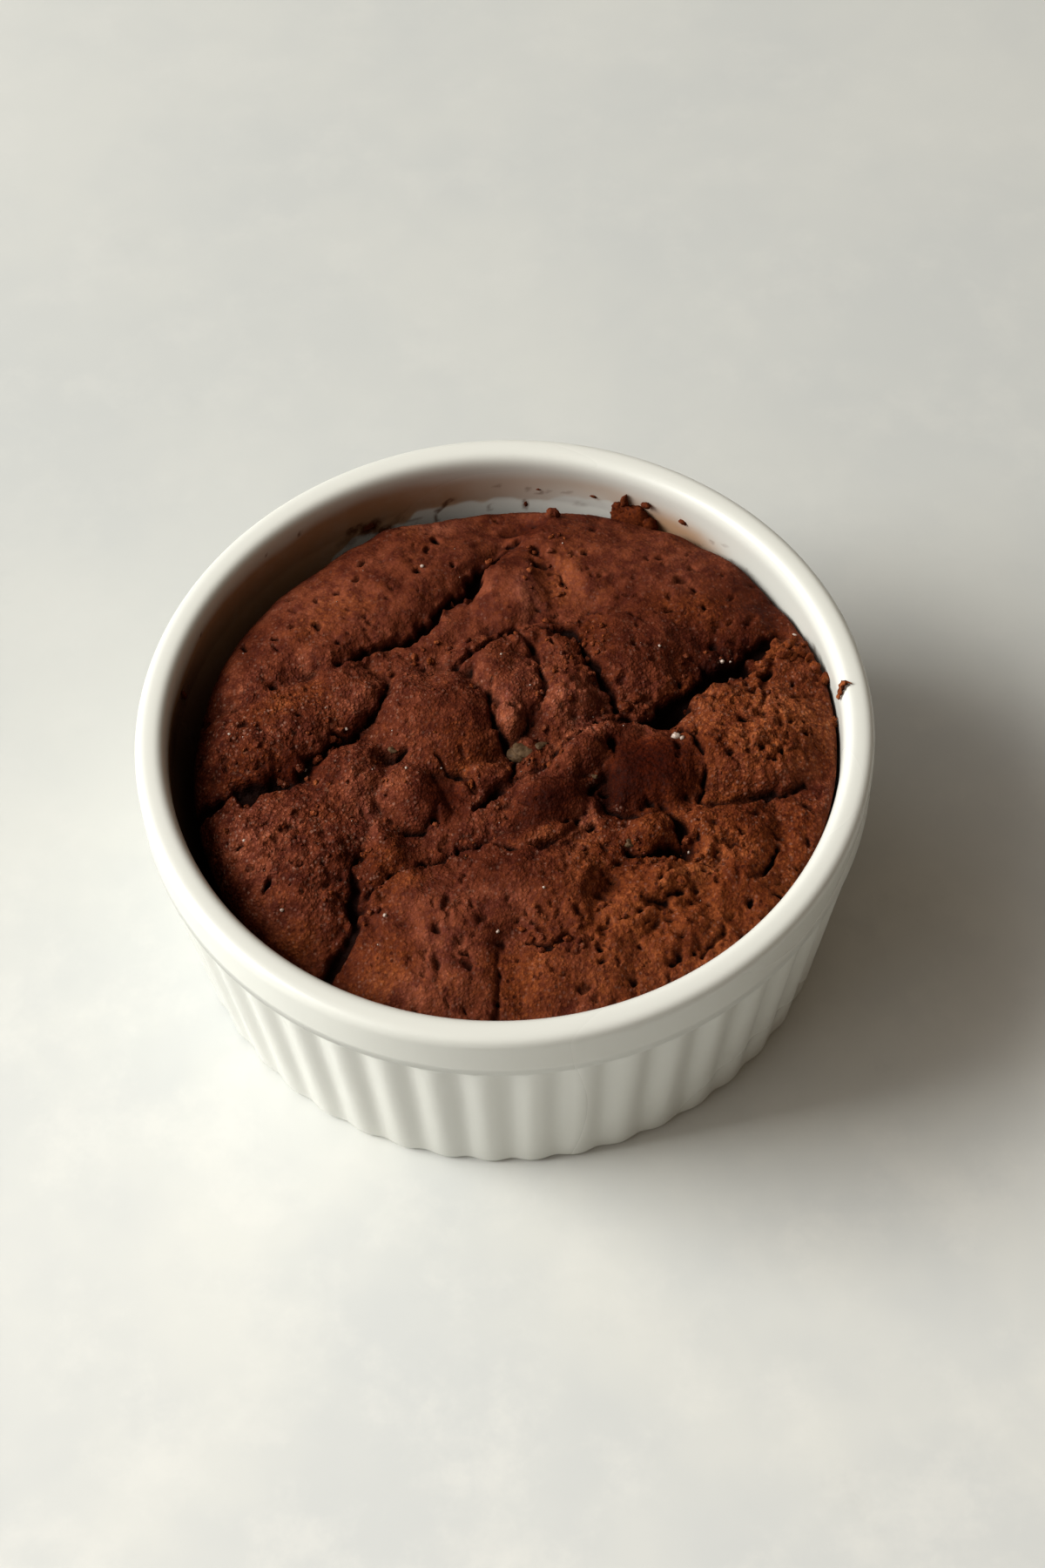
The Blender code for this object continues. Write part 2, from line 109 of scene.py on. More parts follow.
# Torn crumb, rougher than the crust around it: x, y, half length, half width, turn, and how rough
TORN = (
    (9.8, 6, 5.6, 10.5, 0, 1), (3.5, 16.6, 11, 2.8, 10, 1), (12.4, 13, 3, 5.5, -25, 0.9),
    (5.5, -4.2, 6, 2.6, 30, 1), (-3.5, -15, 8, 5, 20, 0.9), (-18, -13, 4.5, 8, -10, 0.7),
    (-21.5, -24, 4.5, 7, 0, 0.9), (-29, -2.5, 13, 4, 20, 1), (-33, -20, 11, 13, 15, 0.55),
    (-33, 4, 10, 6, 20, 0.5), (-23, -8, 7, 7, 0, 0.4), (-9, 2, 8, 8, 0, 0.25), (-13, 12, 10, 3, 20, 0.5),
    (29, 8.5, 11, 4, 35, 0.8), (16, -21.5, 10, 3.5, 0, 0.9), (27, -28, 16, 9, 35, 0.7),
    (37, -3, 9, 10, 0, 0.8), (8, -33, 8, 5, 0, 0.4), (18, 3, 5, 2.4, 0, 0.8), (8, 30, 4, 7, 0, 0.6),
)
# Sunken places: x, y, half length, half width, turn, depth
HOLLOWS = (
    (12.5, -26.5, 3.6, 3.2, 0, 0.8), (4.5, 38.6, 4.6, 2.4, 0, 1.6), (15, -10.8, 2, 4.6, -12, 1.4),
    (-16.5, -3.5, 3, 2.4, 0, 0.9), (24.5, -20.6, 2.6, 2.2, 0, 1.2),
)
# Fissures: points along each one as x, y, half width, depth
FISSURES = (
    ((4, 36.5, 0.5, 0.8), (1, 33.6, 0.7, 2), (-1, 30.6, 1.1, 3.6), (-3.9, 27.2, 1.2, 4.4),
     (-6.8, 24.6, 0.9, 3), (-8.8, 22.2, 0.9, 2.8), (-10.8, 19.8, 1.1, 3.4), (-13, 18, 1.2, 3.6),
     (-16, 16.6, 1, 2.4), (-19.4, 15.2, 1, 2.8), (-21.6, 13.8, 1.1, 3.2), (-23.6, 12.8, 0.5, 1)),
    ((-15.8, 9.4, 0.4, 0.8), (-17, 6.4, 0.7, 1.8), (-19.8, 3.2, 1, 2.6), (-22, 1, 1.3, 3.4),
     (-25, -1.8, 1.3, 3), (-27.6, -4, 1.1, 2.6), (-30.8, -5.6, 1.2, 3), (-34.2, -6.4, 1.5, 3.8),
     (-38, -7, 1.7, 3.8), (-44, -8, 1.7, 3.4)),
    ((-6.5, 11.2, 0.5, 1), (-4.2, 12.8, 0.8, 2), (-1.6, 15, 0.7, 1.8), (1.4, 17, 0.9, 2.4),
     (4.8, 17.9, 0.9, 2.4), (8.6, 17.8, 1.2, 2.8), (11.6, 15.8, 1.7, 3.4), (13.6, 11, 1.5, 3.4),
     (15, 7, 1, 2.6), (16.6, 3.4, 0.8, 2.2)),
    ((4.4, 16, 0.4, 1), (5.2, 13.6, 0.6, 1.8), (6, 10.8, 0.5, 1.6), (6.3, 7.4, 0.6, 1.8),
     (5.4, 3.6, 0.4, 1), (4.4, 0.6, 0.4, 1)),
    ((41, 16, 0.7, 1.6), (37.8, 13, 1.8, 3.6), (35, 11.1, 2.5, 4.8), (32.2, 9.4, 2.6, 5.4),
     (28.9, 7.3, 2.1, 4.8), (25.6, 4.8, 2, 5.5), (23.2, 1.8, 2.3, 7), (21, 1.6, 1.4, 4),
     (17.6, 1.6, 0.7, 2), (14, 0.4, 0.6, 1.6), (11, -1.8, 0.5, 1.6), (8.5, -3.4, 0.5, 1.4),
     (5, -7, 0.4, 0.9), (1.6, -8.4, 0.5, 1), (-1.8, -10.6, 1.3, 3.2), (-4.5, -13, 0.6, 1.2)),
    ((-0.7, 7.2, 0.3, 0.6), (-1.6, 3.4, 0.5, 1.4), (-1.2, 0.4, 0.6, 1.8), (0.6, -2.4, 0.8, 2.2),
     (1.4, -5, 0.8, 2), (1, -8, 0.7, 1.8)),
    ((15.9, -2.6, 0.8, 3.2), (15.2, -5.6, 0.35, 0.8), (13.8, -8.6, 0.4, 1), (12.6, -10, 0.8, 3),
     (13.4, -12.8, 0.35, 0.8), (15.8, -14.2, 0.7, 2), (18.5, -15, 0.5, 1.2), (22.4, -14.9, 0.6, 1.6),
     (24.2, -17.6, 1, 3), (23.8, -20.2, 1.3, 3.2), (20.4, -21.2, 1.3, 3), (17, -20.4, 1, 2.2)),
    ((25, -0.8, 0.7, 2.4), (27.4, -4.6, 0.7, 2), (27.8, -9, 0.7, 1.8), (27, -13, 0.7, 1.8),
     (30.6, -13.4, 0.9, 1.6), (36, -12.6, 1.1, 1.9), (42, -11, 0.8, 1.4)),
    ((-21, -26.2, 0.7, 1.8), (-18, -23.6, 0.45, 1.7), (-14, -21.7, 0.4, 1.8), (-9.6, -20.1, 0.4, 1.8),
     (-6, -18.7, 0.4, 1.7), (-2.4, -18.6, 0.35, 1.2), (2.4, -20.4, 0.5, 1.4), (6.4, -19, 0.5, 1.2),
     (10.4, -15.4, 0.4, 1.2)),
    ((-20.6, -19.5, 0.9, 1.4), (-21.4, -24, 1.2, 2.4), (-21.2, -28.5, 1.4, 3), (-23, -32, 1.2, 2.8),
     (-26, -36.5, 1.2, 3), (-28, -39, 1.2, 3.4)),
    ((-2.2, -35, 0.4, 0.5), (-2.2, -39, 0.5, 0.8), (-2.8, -46, 0.8, 1.6)),
    ((-9.6, -4, 0.7, 1.8), (-8, -6.6, 0.5, 1.2), (-5.8, -8, 0.6, 1.6), (-4, -10, 0.5, 1.4)),
    ((-14, -15.4, 0.5, 1), (-11, -15.8, 0.7, 1.6), (-9.2, -12.4, 0.5, 1)),
    ((17, -30.6, 0.5, 1.2), (20, -29, 0.7, 1.6), (22.8, -27.2, 0.7, 1.8)),
    ((33.6, -26, 0.5, 1), (36, -23.2, 0.9, 2.8), (37.4, -20.6, 0.6, 1.4)),
    ((25, -36.6, 0.7, 2), (28, -33.6, 0.6, 1.6), (27.6, -31.6, 0.4, 0.8)),
    ((2.4, -34, 0.5, 1.2), (4.6, -34.6, 0.8, 2.4), (7, -33.4, 0.6, 1.6)),
    ((8.2, 28.4, 0.3, 0.8), (9.6, 28.2, 0.35, 1.2), (10, 27, 0.35, 1.2), (9, 26.2, 0.3, 0.8)),
    ((40, 12.8, 0.4, 0.5), (38.6, 8.4, 0.7, 1.2), (37.2, 4.2, 0.7, 1.2), (36, 0.4, 0.5, 0.7)),
)
# Single dark pits: x, y, radius, depth
PITS = (
    (-8, 36.8, 0.9, 1.2), (3.2, 35.8, 0.9, 1.2), (-36.5, 18.5, 0.7, 1), (-20.5, 28.8, 0.8, 0.8),
    (-26, 25.4, 0.5, 0.6), (6.8, 30.6, 1, 1), (6.4, 33, 0.7, 0.8), (25, 30.6, 0.7, 0.8),
    (30.2, 20, 0.7, 1), (29, 23.6, 0.6, 0.8), (25, 19.4, 0.7, 0.8), (-14.4, -3.4, 1, 1.6),
    (-36.6, -16.4, 0.7, 1.2), (-33.6, -22.8, 0.7, 1.2), (-3, 27, 0.5, 0.8), (36.4, -27.6, 0.9, 1.4),
    (11.6, -36.2, 0.7, 1.2), (26.6, -19.2, 0.8, 1.2), (32.4, -29.2, 0.6, 1), (24.5, -36.4, 0.6, 1.2),
    (38.2, 8.2, 0.8, 1.2), (36, 5, 0.6, 0.9), (33.4, -0.6, 0.9, 1.3), (34.9, -1.4, 0.7, 1.1),
    (40.8, -1.2, 0.6, 1), (42.6, -3, 0.7, 1), (39.6, -4.6, 0.6, 0.9), (35.6, -5.8, 0.7, 1.1),
    (32.2, -7.2, 0.6, 0.9), (38.2, -8, 0.8, 1.1), (43.4, 3.6, 0.6, 0.9), (41.6, 6.4, 0.5, 0.8),
    (34, 3.4, 0.5, 0.8), (30.6, 1.6, 0.5, 0.7), (30, -3.2, 0.6, 0.9),
)

# Regions of the crust's colour and crumb: x, y, half length, half width, turn, and how much of it
ORANGE_PATCHES = (
    (25, -26, 26, 18, 35, 1), (36, 0, 16, 14, 0, 0.85), (40, 9, 8, 8, 0, 0.6), (-24, 22, 9, 5, 25, 0.45),
    (-30, 7, 8, 3, 15, 0.9), (10, 28, 5, 8, 0, 0.45), (28, 20, 7, 4, 0, 0.8), (-5, -4, 5, 5, 0, 0.7),
    (3.6, -18.9, 5.5, 1.5, 28, 1), (-17, -22, 3, 6, 0, 0.8), (-19, -36, 6, 6, 0, 0.7),
    (-14, -23.6, 4, 1.5, 15, 1), (20, -16, 6, 6, 0, 0.8), (-37, -3, 6, 4, 0, 0.7),
    (-28, -30, 4, 3, 0, 0.7), (14, 17, 4, 6, 0, 0.5), (2, -40, 8, 6, 0, 0.8),
)
MOIST_PATCHES = (
    (21, -7, 8.5, 8.5, 0, 1), (6.5, -13, 6, 4, 25, 0.7), (-8.5, -11, 4, 5, 0, 0.8),
    (-5, 0, 7, 7, -35, 0.45), (5, 38.8, 5, 2.6, 0, 0.7), (-22, 1, 4, 2.4, 30, 0.8),
    (-30, -4.5, 7, 3, 15, 0.9), (24.5, -20, 3, 2, 0, 0.9), (13, -26, 3.5, 3.5, 0, 0.5),
)
OPEN_CRUMB = (
    (28, -26, 30, 20, 35, 1), (38, 0, 14, 15, 0, 1), (-20, 25, 20, 12, 32, 0.45),
    (25, 22, 20, 16, -25, 0.4), (-32, -18, 13, 15, 15, 0.35), (-10, -34, 15, 12, 15, 0.3),
    (-35, 4, 10, 10, 0, 0.4),
)
# Lighter and darker places of the crust, in the same order of values. They were listed one by one, their amounts
# set by comparing how bright the render and the photo are from place to place.
STOPS_PER_TONE = 0.8
# Partly the crust's own lighter and darker colour and partly painted light and shade: the wall's shadow along the
# left edge, shaded valleys and fissure sides, and lit slopes with their highlights.
TONE_AND_SHADE_PATCHES = (
    # behind: the left lobe, the lump at its right and the dark edge
    (-22, 24, 7, 4, 30, 0.6), (-34, 22, 6, 3, 50, -0.6), (-34, 26, 3, 4, 0, 0.7), (-20, 20, 3, 3, 0, 0.4),
    (-10, 20, 5, 4, 0, 0.6), (-10, 20, 2.5, 2.5, 0, -0.7), (-11, 21, 3, 5, -40, -0.6),
    (-38, 11, 3, 5, 0, 0.35), (-10, 41, 9, 2.5, 0, 0.6), (-9, 40, 5, 3, 0, 0.7), (0, 32, 50, 24, 0, -0.2),
    (0, 30, 5, 4, 0, -0.4), (0, 30, 2.5, 2.5, 0, -0.7), (0, 24, 5, 6, 20, 0.3),
    (5, 23.6, 2.5, 6.6, 0, 1.75), (10, 30, 4, 7, -10, 0.6), (10, 32.4, 7, 5, 0, -0.4),
    (20, 21, 5, 4, 0, -0.3), (30, 30, 5, 4, 0, 0.3), (40, 24, 4, 7, 35, -0.7), (36, 21, 8, 5, -40, -0.65),
    (25, 15, 12, 9, -20, -0.7), (25, 14.5, 2.7, 2.5, 0, 0.9), (20, 12.5, 5, 4, 0, -0.2),
    # the painted shade along the right fissure's far side, and the light crumb in front of it
    (31, 13, 8, 6, 0, -0.5), (30, 12, 7, 5, 0, -0.35), (30, 11, 3.5, 2.5, 30, -0.7),
    (37, 14, 8, 4, 35, -0.9), (35, 9, 5, 3, 35, -0.6), (30.1, 10.1, 3, 1.9, 30, -1.6),
    (35, 15, 2.5, 2.5, 0, -0.5), (30, 5, 4, 2.5, 0, 0.35), (40.4, 1.5, 4.6, 6.6, 0, 0.6),
    (36, 1, 7, 9, 0, 0.3), (46.4, -6, 1.8, 16, 0, 0.9), (36, -7, 6, 4, 0, 0.3), (31, -5, 3, 3, 0, -0.5),
    (24.6, -5, 2.4, 2.4, 0, -0.5), (41, -11.5, 6, 2.5, 15, -0.6),
    # the middle lumps
    (1.3, 1.2, 3, 3, 0, 1.5), (-0.4, 4.4, 3, 2.4, 0, 0.8), (-2.5, 8, 3, 4, 0, 0.5), (0, 0, 5, 4, 0, 0.3),
    (-10, 11, 5, 4, 0, 0.3), (5, 9, 2.5, 4.5, 0, 0.5), (9, 4, 4, 6, 0, 0.5), (12.1, 1, 4.5, 4.6, 0, 0.78),
    (9, 12, 4, 4, 0, 0.45), (1, 16.4, 6, 1.3, 35, -0.7), (9.4, 17.2, 4, 2.2, -20, -0.9),
    (13, 15.5, 3, 3.5, 0, -0.7), (12.5, 13, 2.4, 6, -20, -0.7), (15, 10, 2, 2.8, 0, -1.2),
    (15, 5, 2, 2.5, 0, 1.1), (15.4, -4.8, 2.6, 2.6, 0, 0.6), (15, -5.5, 2, 2, 0, 0.6),
    (20, 3, 4, 4, 0, 0.4), (20, 0.4, 2.6, 2.4, 0, 0.6), (20.5, -1, 2.5, 2, 0, 0.6),
    (9, -4, 5, 2.5, 40, 0.5), (19.5, -9, 7.8, 7.8, 0, -1.2), (17, -12, 3.5, 4, 0, -0.7),
    (17, -8, 2, 5, 0, -0.4), (7, -13, 5, 4, 20, -0.6), (7.5, -11.8, 3.5, 3, 25, -0.7),
    (11, -14.5, 3, 2.5, 0, 0.8), (10.5, -14.5, 2.5, 3.5, 0, 0.6), (10, -10, 4, 3, 0, -0.5),
    (9, -10, 3, 3, 0, 0.3), (9.8, -11.6, 2.6, 4.6, 0, 0.9), (3, -14.5, 4, 2, 25, -0.6),
    (5, -13.5, 2.5, 2, 25, -0.5), (3, -15, 7, 6, 10, -0.6), (-8, -17, 6, 5, 20, -0.4),
    (-9.5, -11, 2.5, 4.5, 0, -0.65), (-14.6, -8.8, 2.2, 2, 0, 0.6),
    # the left lobes and the painted shade of the valleys between them
    (-20, 10, 5, 4, 0, 0.25), (-25, 10, 3, 3, 0, -0.4), (-20, 6, 3, 2.5, 20, 0.6), (-20, 2, 4, 3, 30, -0.6),
    (-26, 1.5, 5, 2, 35, 0.5), (-35, 4, 3, 8, 0, -0.5), (-44, 4, 3.5, 14, 0, -1.2),
    (-36, -3, 9, 4, 10, -0.7), (-29, -8, 5, 2, 20, -0.3), (-40, -4.6, 3, 2.6, 0, -0.9),
    (-40, -10, 3, 5, 0, -0.5), (-35, -14.8, 7, 7.5, 10, 0.7), (-20, -9, 5, 5, 0, 0.6),
    (-19.8, -13, 2.5, 4, 0, 0.7), (-20, -15, 2.5, 2.5, 0, 1.1), (-16, -19, 5, 6, -20, -0.4),
    (-40, -19, 3, 12, 25, -0.7), (-37, -29, 6, 3, -45, -0.8), (-21.5, -25, 4, 9, 0, -0.9),
    (-30, -25, 3, 4, 0, -0.5), (-25, -36, 7, 4, -30, -0.7), (-31, -34, 9, 3, -40, -0.8),
    (-20, -29.4, 6.5, 6.5, 0, -0.45),
    # the front
    (3.6, -19, 4.5, 1.1, 28, 1.5), (0, -20, 6, 3.5, 10, -0.7), (0, -21.5, 5, 2, 10, -0.5),
    (5, -20.8, 3.5, 1.8, 20, -0.5), (0.8, -24, 6, 3.4, 6, -1), (-2, -28.8, 8, 4, 0, 0.5),
    (10, -20, 4, 4, 0, 0.4), (18, -21, 6, 3, 0, -0.8), (17, -16, 6, 5, 0, -0.5), (33, -18, 6, 3, 30, -0.6),
    (30, -21, 5, 4, 15, 0.5), (22, -27, 7, 3, 30, 0.5), (25, -25, 2.5, 2.5, 0, 0.6),
    (30.2, -25.2, 2.6, 2.5, 0, -1.2), (30, -30, 6, 4, 35, -0.3), (25, -35, 2.5, 2.5, 0, -0.5),
    (15, -30, 8, 4, 0, 0.25), (-10.5, -37, 8, 6.4, 0, 0.7), (-16, -33, 3.5, 6, 0, -0.6),
    (-15, -35, 3, 3, 0, -0.7), (-2, -36, 2, 8, 0, -0.5),
)

# Where the clean strip of the inner wall above the cake ends and the brown film, partly painted shade, begins:
# azimuth, height
FILM_EDGE = (
    (40, 28), (56, 30), (62, 33), (68, 36.6), (74, 35.6), (80, 33.8), (92, 33.8), (98.4, 33.2),
    (104, 33.4), (109, 31.6), (117, 32.6), (122.3, 30), (126, 26), (132, 15),
)
# How brown the film is, partly baked-on batter and partly painted shade where the wall is shaded: azimuth, at the
# top, low down
FILM_AND_SHADE = (
    (40, 0, 0), (50, 0.1, 0.5), (56, 0.15, 0.55), (62, 0.2, 0.5), (70, 0.33, 0.2), (76, 0.33, 0.2),
    (92, 0.33, 0.38), (98, 0.38, 0.5), (104, 0.42, 0.5), (110, 0.52, 0.65), (120, 0.62, 0.65),
    (135, 0.68, 0.72), (150, 0.72, 0.78), (165, 0.8, 1), (182, 0.6, 1), (205, 0.25, 1), (240, 0, 0),
)
# Where the film ends below the rim, and the heights between which it changes from low down to the top
FILM_TOP = 41.6
FILM_FADE = (35, 40)
# Painted shade on the left inner wall: azimuth, strength. It fades between two heights.
WALL_SHADE = ((156, 0), (174, 0.8), (181, 0.6), (192, 0.3), (215, 0))
WALL_SHADE_FADE = (38, 41.5)
# Baked-on marks of the inner wall: azimuth, height, half length, half height, turn, strength
WALL_MARKS = (
    (112.8, 33.6, 2.2, 1.4, 25, 1), (115.8, 34.5, 1.8, 0.9, 10, 0.9), (110.4, 32, 1.9, 1.1, 0, 1),
    (117.5, 32.8, 2, 1.2, 0, 0.5), (107.6, 33.2, 1.6, 0.8, 0, 0.4), (104.5, 32, 1.8, 0.3, 0, 0.5),
    (118.5, 30.5, 2.2, 0.3, 0, 0.5), (100.6, 31.5, 0.4, 0.9, 0, 0.9), (99.9, 32.9, 0.4, 0.9, -20, 0.9),
    (98.6, 34.2, 0.4, 0.9, -45, 0.9), (97.2, 34.9, 0.8, 0.35, 0, 0.8), (90.4, 32.3, 0.5, 0.8, 0, 0.5),
    (89, 37, 0.8, 0.4, 15, 0.5), (83.8, 32.9, 0.5, 1.2, 0, 0.8), (83.3, 36.6, 0.7, 0.5, 0, 0.45),
    (81.1, 35.6, 0.9, 0.4, 20, 0.5), (79.4, 36.4, 0.6, 0.3, 0, 0.35), (76, 36.4, 1, 0.35, 0, 0.35),
    (73.6, 34, 1.4, 0.5, 0, 0.25), (51.7, 33.4, 0.5, 0.5, 0, 0.45), (50, 34.2, 0.5, 0.4, 0, 0.3),
    (47.2, 36.9, 0.5, 0.4, 0, 0.35), (44.4, 38.1, 0.5, 0.3, 0, 0.3), (42.2, 35.5, 0.7, 0.4, 0, 0.4),
    (38.4, 36.4, 0.5, 0.4, 0, 0.35), (127.3, 40.4, 0.35, 0.35, 0, 0.9), (135, 40.8, 0.4, 0.35, 0, 0.9),
    (155.1, 40.4, 0.4, 0.4, 0, 0.9),
)
# Bits baked onto the inner wall: azimuth, how far in from it, height, half lengths along, out and up
WALL_BITS = (
    (63.2, 0.6, 34.9, 3.5, 1.3, 2.2), (60.4, 0.7, 34.4, 2.3, 1.2, 1.7), (66, 0.5, 35.8, 1.4, 0.9, 1.6),
    (65, 0.4, 37.8, 0.6, 0.5, 1.7), (62.8, 0.6, 36.2, 1.5, 0.8, 1.2), (60.8, 0.4, 38.5, 0.7, 0.5, 0.7),
    (53.5, 0.1, 37.8, 0.8, 0.4, 0.5), (71.2, 0.1, 36.7, 0.45, 0.2, 0.3), (83.8, 0, 33, 0.35, 0.25, 0.6),
    (81.4, 0, 36.5, 0.3, 0.15, 0.2), (165.9, 0.3, 37.6, 0.45, 0.4, 0.9),
    (113, 0, 33.7, 1.1, 0.35, 0.5),
)
# Crumbs on the crust: x, y, half length, half width, half height, turn, share of orange
CRUMBS = (
    (9.3, 41.6, 1.1, 0.9, 1.1, 10, 0.1), (-24.3, 0.7, 0.9, 0.7, 0.6, 20, 0.2),
    (-22.6, 1.9, 0.6, 0.5, 0.5, 0, 0.3), (-26.2, -2.2, 0.8, 0.6, 0.5, 30, 0.2),
    (-28.6, -3.8, 0.7, 0.6, 0.5, 0, 0.1), (-31.2, -5.2, 0.8, 0.6, 0.5, 0, 0.2),
    (-4.7, -8.7, 0.6, 1.2, 0.7, 10, 1), (-0.6, 32.4, 0.6, 0.5, 0.4, 0, 0.8),
    (19.4, 4.6, 1, 0.8, 0.7, 20, 0.3), (17.8, 3.3, 0.8, 0.6, 0.6, 0, 0.4),
    (16.4, 1.9, 0.7, 0.5, 0.5, 0, 0.2), (20.7, 3.4, 0.6, 0.5, 0.5, 0, 0.2),
    (34.4, 10.4, 0.9, 0.7, 0.6, 0, 0.5), (36.7, 8.4, 0.8, 0.7, 0.6, 40, 0.8),
    (35.8, 9.6, 0.6, 0.5, 0.5, 0, 0.4), (37.8, 10, 0.9, 0.7, 0.6, 0, 0.7),
    (39.4, 11.6, 1, 0.7, 0.7, 20, 0.9), (40.2, 13.7, 0.9, 0.7, 0.7, 70, 0.7),
    (41, 11.2, 1.2, 0.8, 0.8, 0, 0.9), (41.9, 13.4, 1.4, 0.9, 0.9, 35, 1),
    (43.4, 12, 1.2, 0.8, 0.8, 0, 0.8), (42.7, 15, 0.9, 0.7, 0.6, 20, 0.6),
    (44.4, 10.6, 0.9, 0.6, 0.7, 60, 1), (45.3, 9.4, 0.9, 0.6, 0.7, 80, 0.8),
    (40.9, 12.6, 0.7, 0.5, 0.6, 0, 0.8), (42.4, 11, 0.7, 0.6, 0.6, 40, 0.9),
    (43.9, 13.3, 0.7, 0.5, 0.5, 10, 0.9), (46.6, 7.4, 0.8, 0.6, 0.6, 80, 0.9),
    (47.2, 0.2, 0.45, 0.6, 0.8, 0, 1), (24.8, -19, 0.5, 0.4, 0.4, 0, 0.4),
    (26, -22, 0.9, 0.7, 0.6, 0, 1), (22.3, -22, 1, 0.6, 0.6, 30, 1),
    (19.6, -22.9, 0.8, 0.6, 0.5, 0, 0.9), (23.6, -26.4, 0.8, 0.7, 0.6, 40, 1),
    (10.6, -23.6, 0.7, 0.6, 0.5, 0, 0.8),
)
CRUMB_DUST = 260
DUST_RADIUS = 44.0
# Grains of sugar: x, y, radius
SUGAR = (
    (24.5, -2.3, 0.7), (25.3, -2.9, 0.4), (43, 15.6, 0.65), (-10.4, 30.7, 0.32), (-17.2, -29.2, 0.3),
    (-2, -32.6, 0.28), (4.6, -27, 0.28), (-36.4, -15.9, 0.28), (-31.3, -26.7, 0.3), (9.9, 16.4, 0.28),
    (23.2, 12.4, 0.24), (32.2, 11.2, 0.36), (33.4, 11.5, 0.2), (25, -20, 0.28), (-22, 2, 0.26),
    (-28, -3.5, 0.28), (-13.6, -6.6, 0.22), (-38.6, 2.2, 0.22), (0.5, 11.4, 0.2),
)
SUGAR_DUST = 26
SUGAR_RADIUS = 43.0
# Bits of banana showing: x, y, half length, half width, half height, turn
BANANA = (
    (2.9, -3.5, 2, 1.5, 0.7, 12), (5.2, -3.1, 1, 0.6, 0.4, 30), (12.7, -8.2, 0.5, 0.4, 0.3, 0),
    (16.9, -19.2, 1, 0.8, 0.6, 0), (-15.4, -2.4, 0.7, 0.5, 0.4, 0),
)


# ---------------------------------------------------------------- noise and maps

MAP_STEP = 0.1
MAP_HALF = 49.0
NOISE_CELLS = 128
NOISE_ORIGIN = 500.0

# Noise that moves points about: how far, how coarse, a seed for each direction, layers
FISSURE_SHIFT = ((0.6, 3.0, 11, 21, 3), (0.18, 1.1, 15, 25, 2))
LUMP_SHIFT = ((1.1, 7.0, 31, 41, 3), (0.3, 2.0, 35, 45, 3))
GRAIN_SHIFT = ((0.35, 1.3, 61, 65, 2),)
PIT_SHIFT = (*GRAIN_SHIFT, (0.7, 1.7, 63, 69, 2))
MARK_SHIFT = ((0.35, 1.2, 221, 231, 2),)


def noise_cell(x, y, scale):
    """The cell of the noise that each point lies in, and its place in units of cells."""
    u, v = x / scale + NOISE_ORIGIN, y / scale + NOISE_ORIGIN
    return u, v, np.floor(u).astype(np.int32), np.floor(v).astype(np.int32)


def lattice_noise(x, y, scale, seed):
    """Smooth noise from -1 to 1 with bumps about one scale across."""
    table = np.random.default_rng(seed).random((NOISE_CELLS, NOISE_CELLS)).astype(np.float32)
    u, v, i, j = noise_cell(x, y, scale)
    a, b = u - i, v - j
    a, b = a * a * (3 - 2 * a), b * b * (3 - 2 * b)
    i0, i1, j0, j1 = i % NOISE_CELLS, (i + 1) % NOISE_CELLS, j % NOISE_CELLS, (j + 1) % NOISE_CELLS
    low = table[j0, i0] * (1 - a) + table[j0, i1] * a
    high = table[j1, i0] * (1 - a) + table[j1, i1] * a
    return 2 * (low * (1 - b) + high * b) - 1


def layered_noise(x, y, scale, seed, layers=3, keep=0.5):
    """Noise in layers, each half as coarse as the last and that share as strong."""
    total = np.zeros_like(x)
    weight = 1.0
    for layer in range(layers):
        layer_x, layer_y = x + 13.7 * layer, y - 7.3 * layer
        total = total + weight * lattice_noise(layer_x, layer_y, scale / 2**layer, seed + layer)
        weight *= keep
    return total


def moved(x, y, shifts):
    """The points moved about by noise, for ragged outlines."""
    moved_x, moved_y = x, y
    for amount, scale, seed_x, seed_y, layers in shifts:
        moved_x = moved_x + amount * layered_noise(x, y, scale, seed_x, layers)
        moved_y = moved_y + amount * layered_noise(x, y, scale, seed_y, layers)
    return moved_x, moved_y


def nearest_point(x, y, scale, seed):
    """Of points scattered one in each cell: how many cells off the nearest is, and its own random number."""
    jitter = np.random.default_rng(seed).random((3, NOISE_CELLS, NOISE_CELLS)).astype(np.float32)
    u, v, i, j = noise_cell(x, y, scale)
    nearest = np.full_like(x, 9.0)
    own = np.zeros_like(x)
    for di in (-1, 0, 1):
        for dj in (-1, 0, 1):
            column, row = (i + di) % NOISE_CELLS, (j + dj) % NOISE_CELLS
            away = np.hypot(u - i - di - jitter[0, row, column], v - j - dj - jitter[1, row, column])
            own = np.where(away < nearest, jitter[2, row, column], own)
            nearest = np.minimum(nearest, away)
    return nearest, own


def grains(x, y, scale, seed):
    """Rounded grains of uneven height, from 0 to 1."""
    away, own = nearest_point(x, y, scale, seed)
    return np.clip(1 - 1.4 * away**2, 0, 1) * (0.35 + 0.65 * own)


def holes(x, y, scale, seed, share):
    """Round holes of uneven width in that share of the cells, from 0 outside to 1 at the bottom."""
    away, own = nearest_point(x, y, scale, seed)
    width = 0.18 + 0.3 * np.abs(np.sin(91.7 * own))
    return (1 - smooth_step(0.4, 1.15, away / width)) * (own < share)


def smooth_step(low, high, value):
    """From 0 at low to 1 at high, with a soft start and end."""
    t = np.clip((value - low) / (high - low), 0, 1)
    return t * t * (3 - 2 * t)


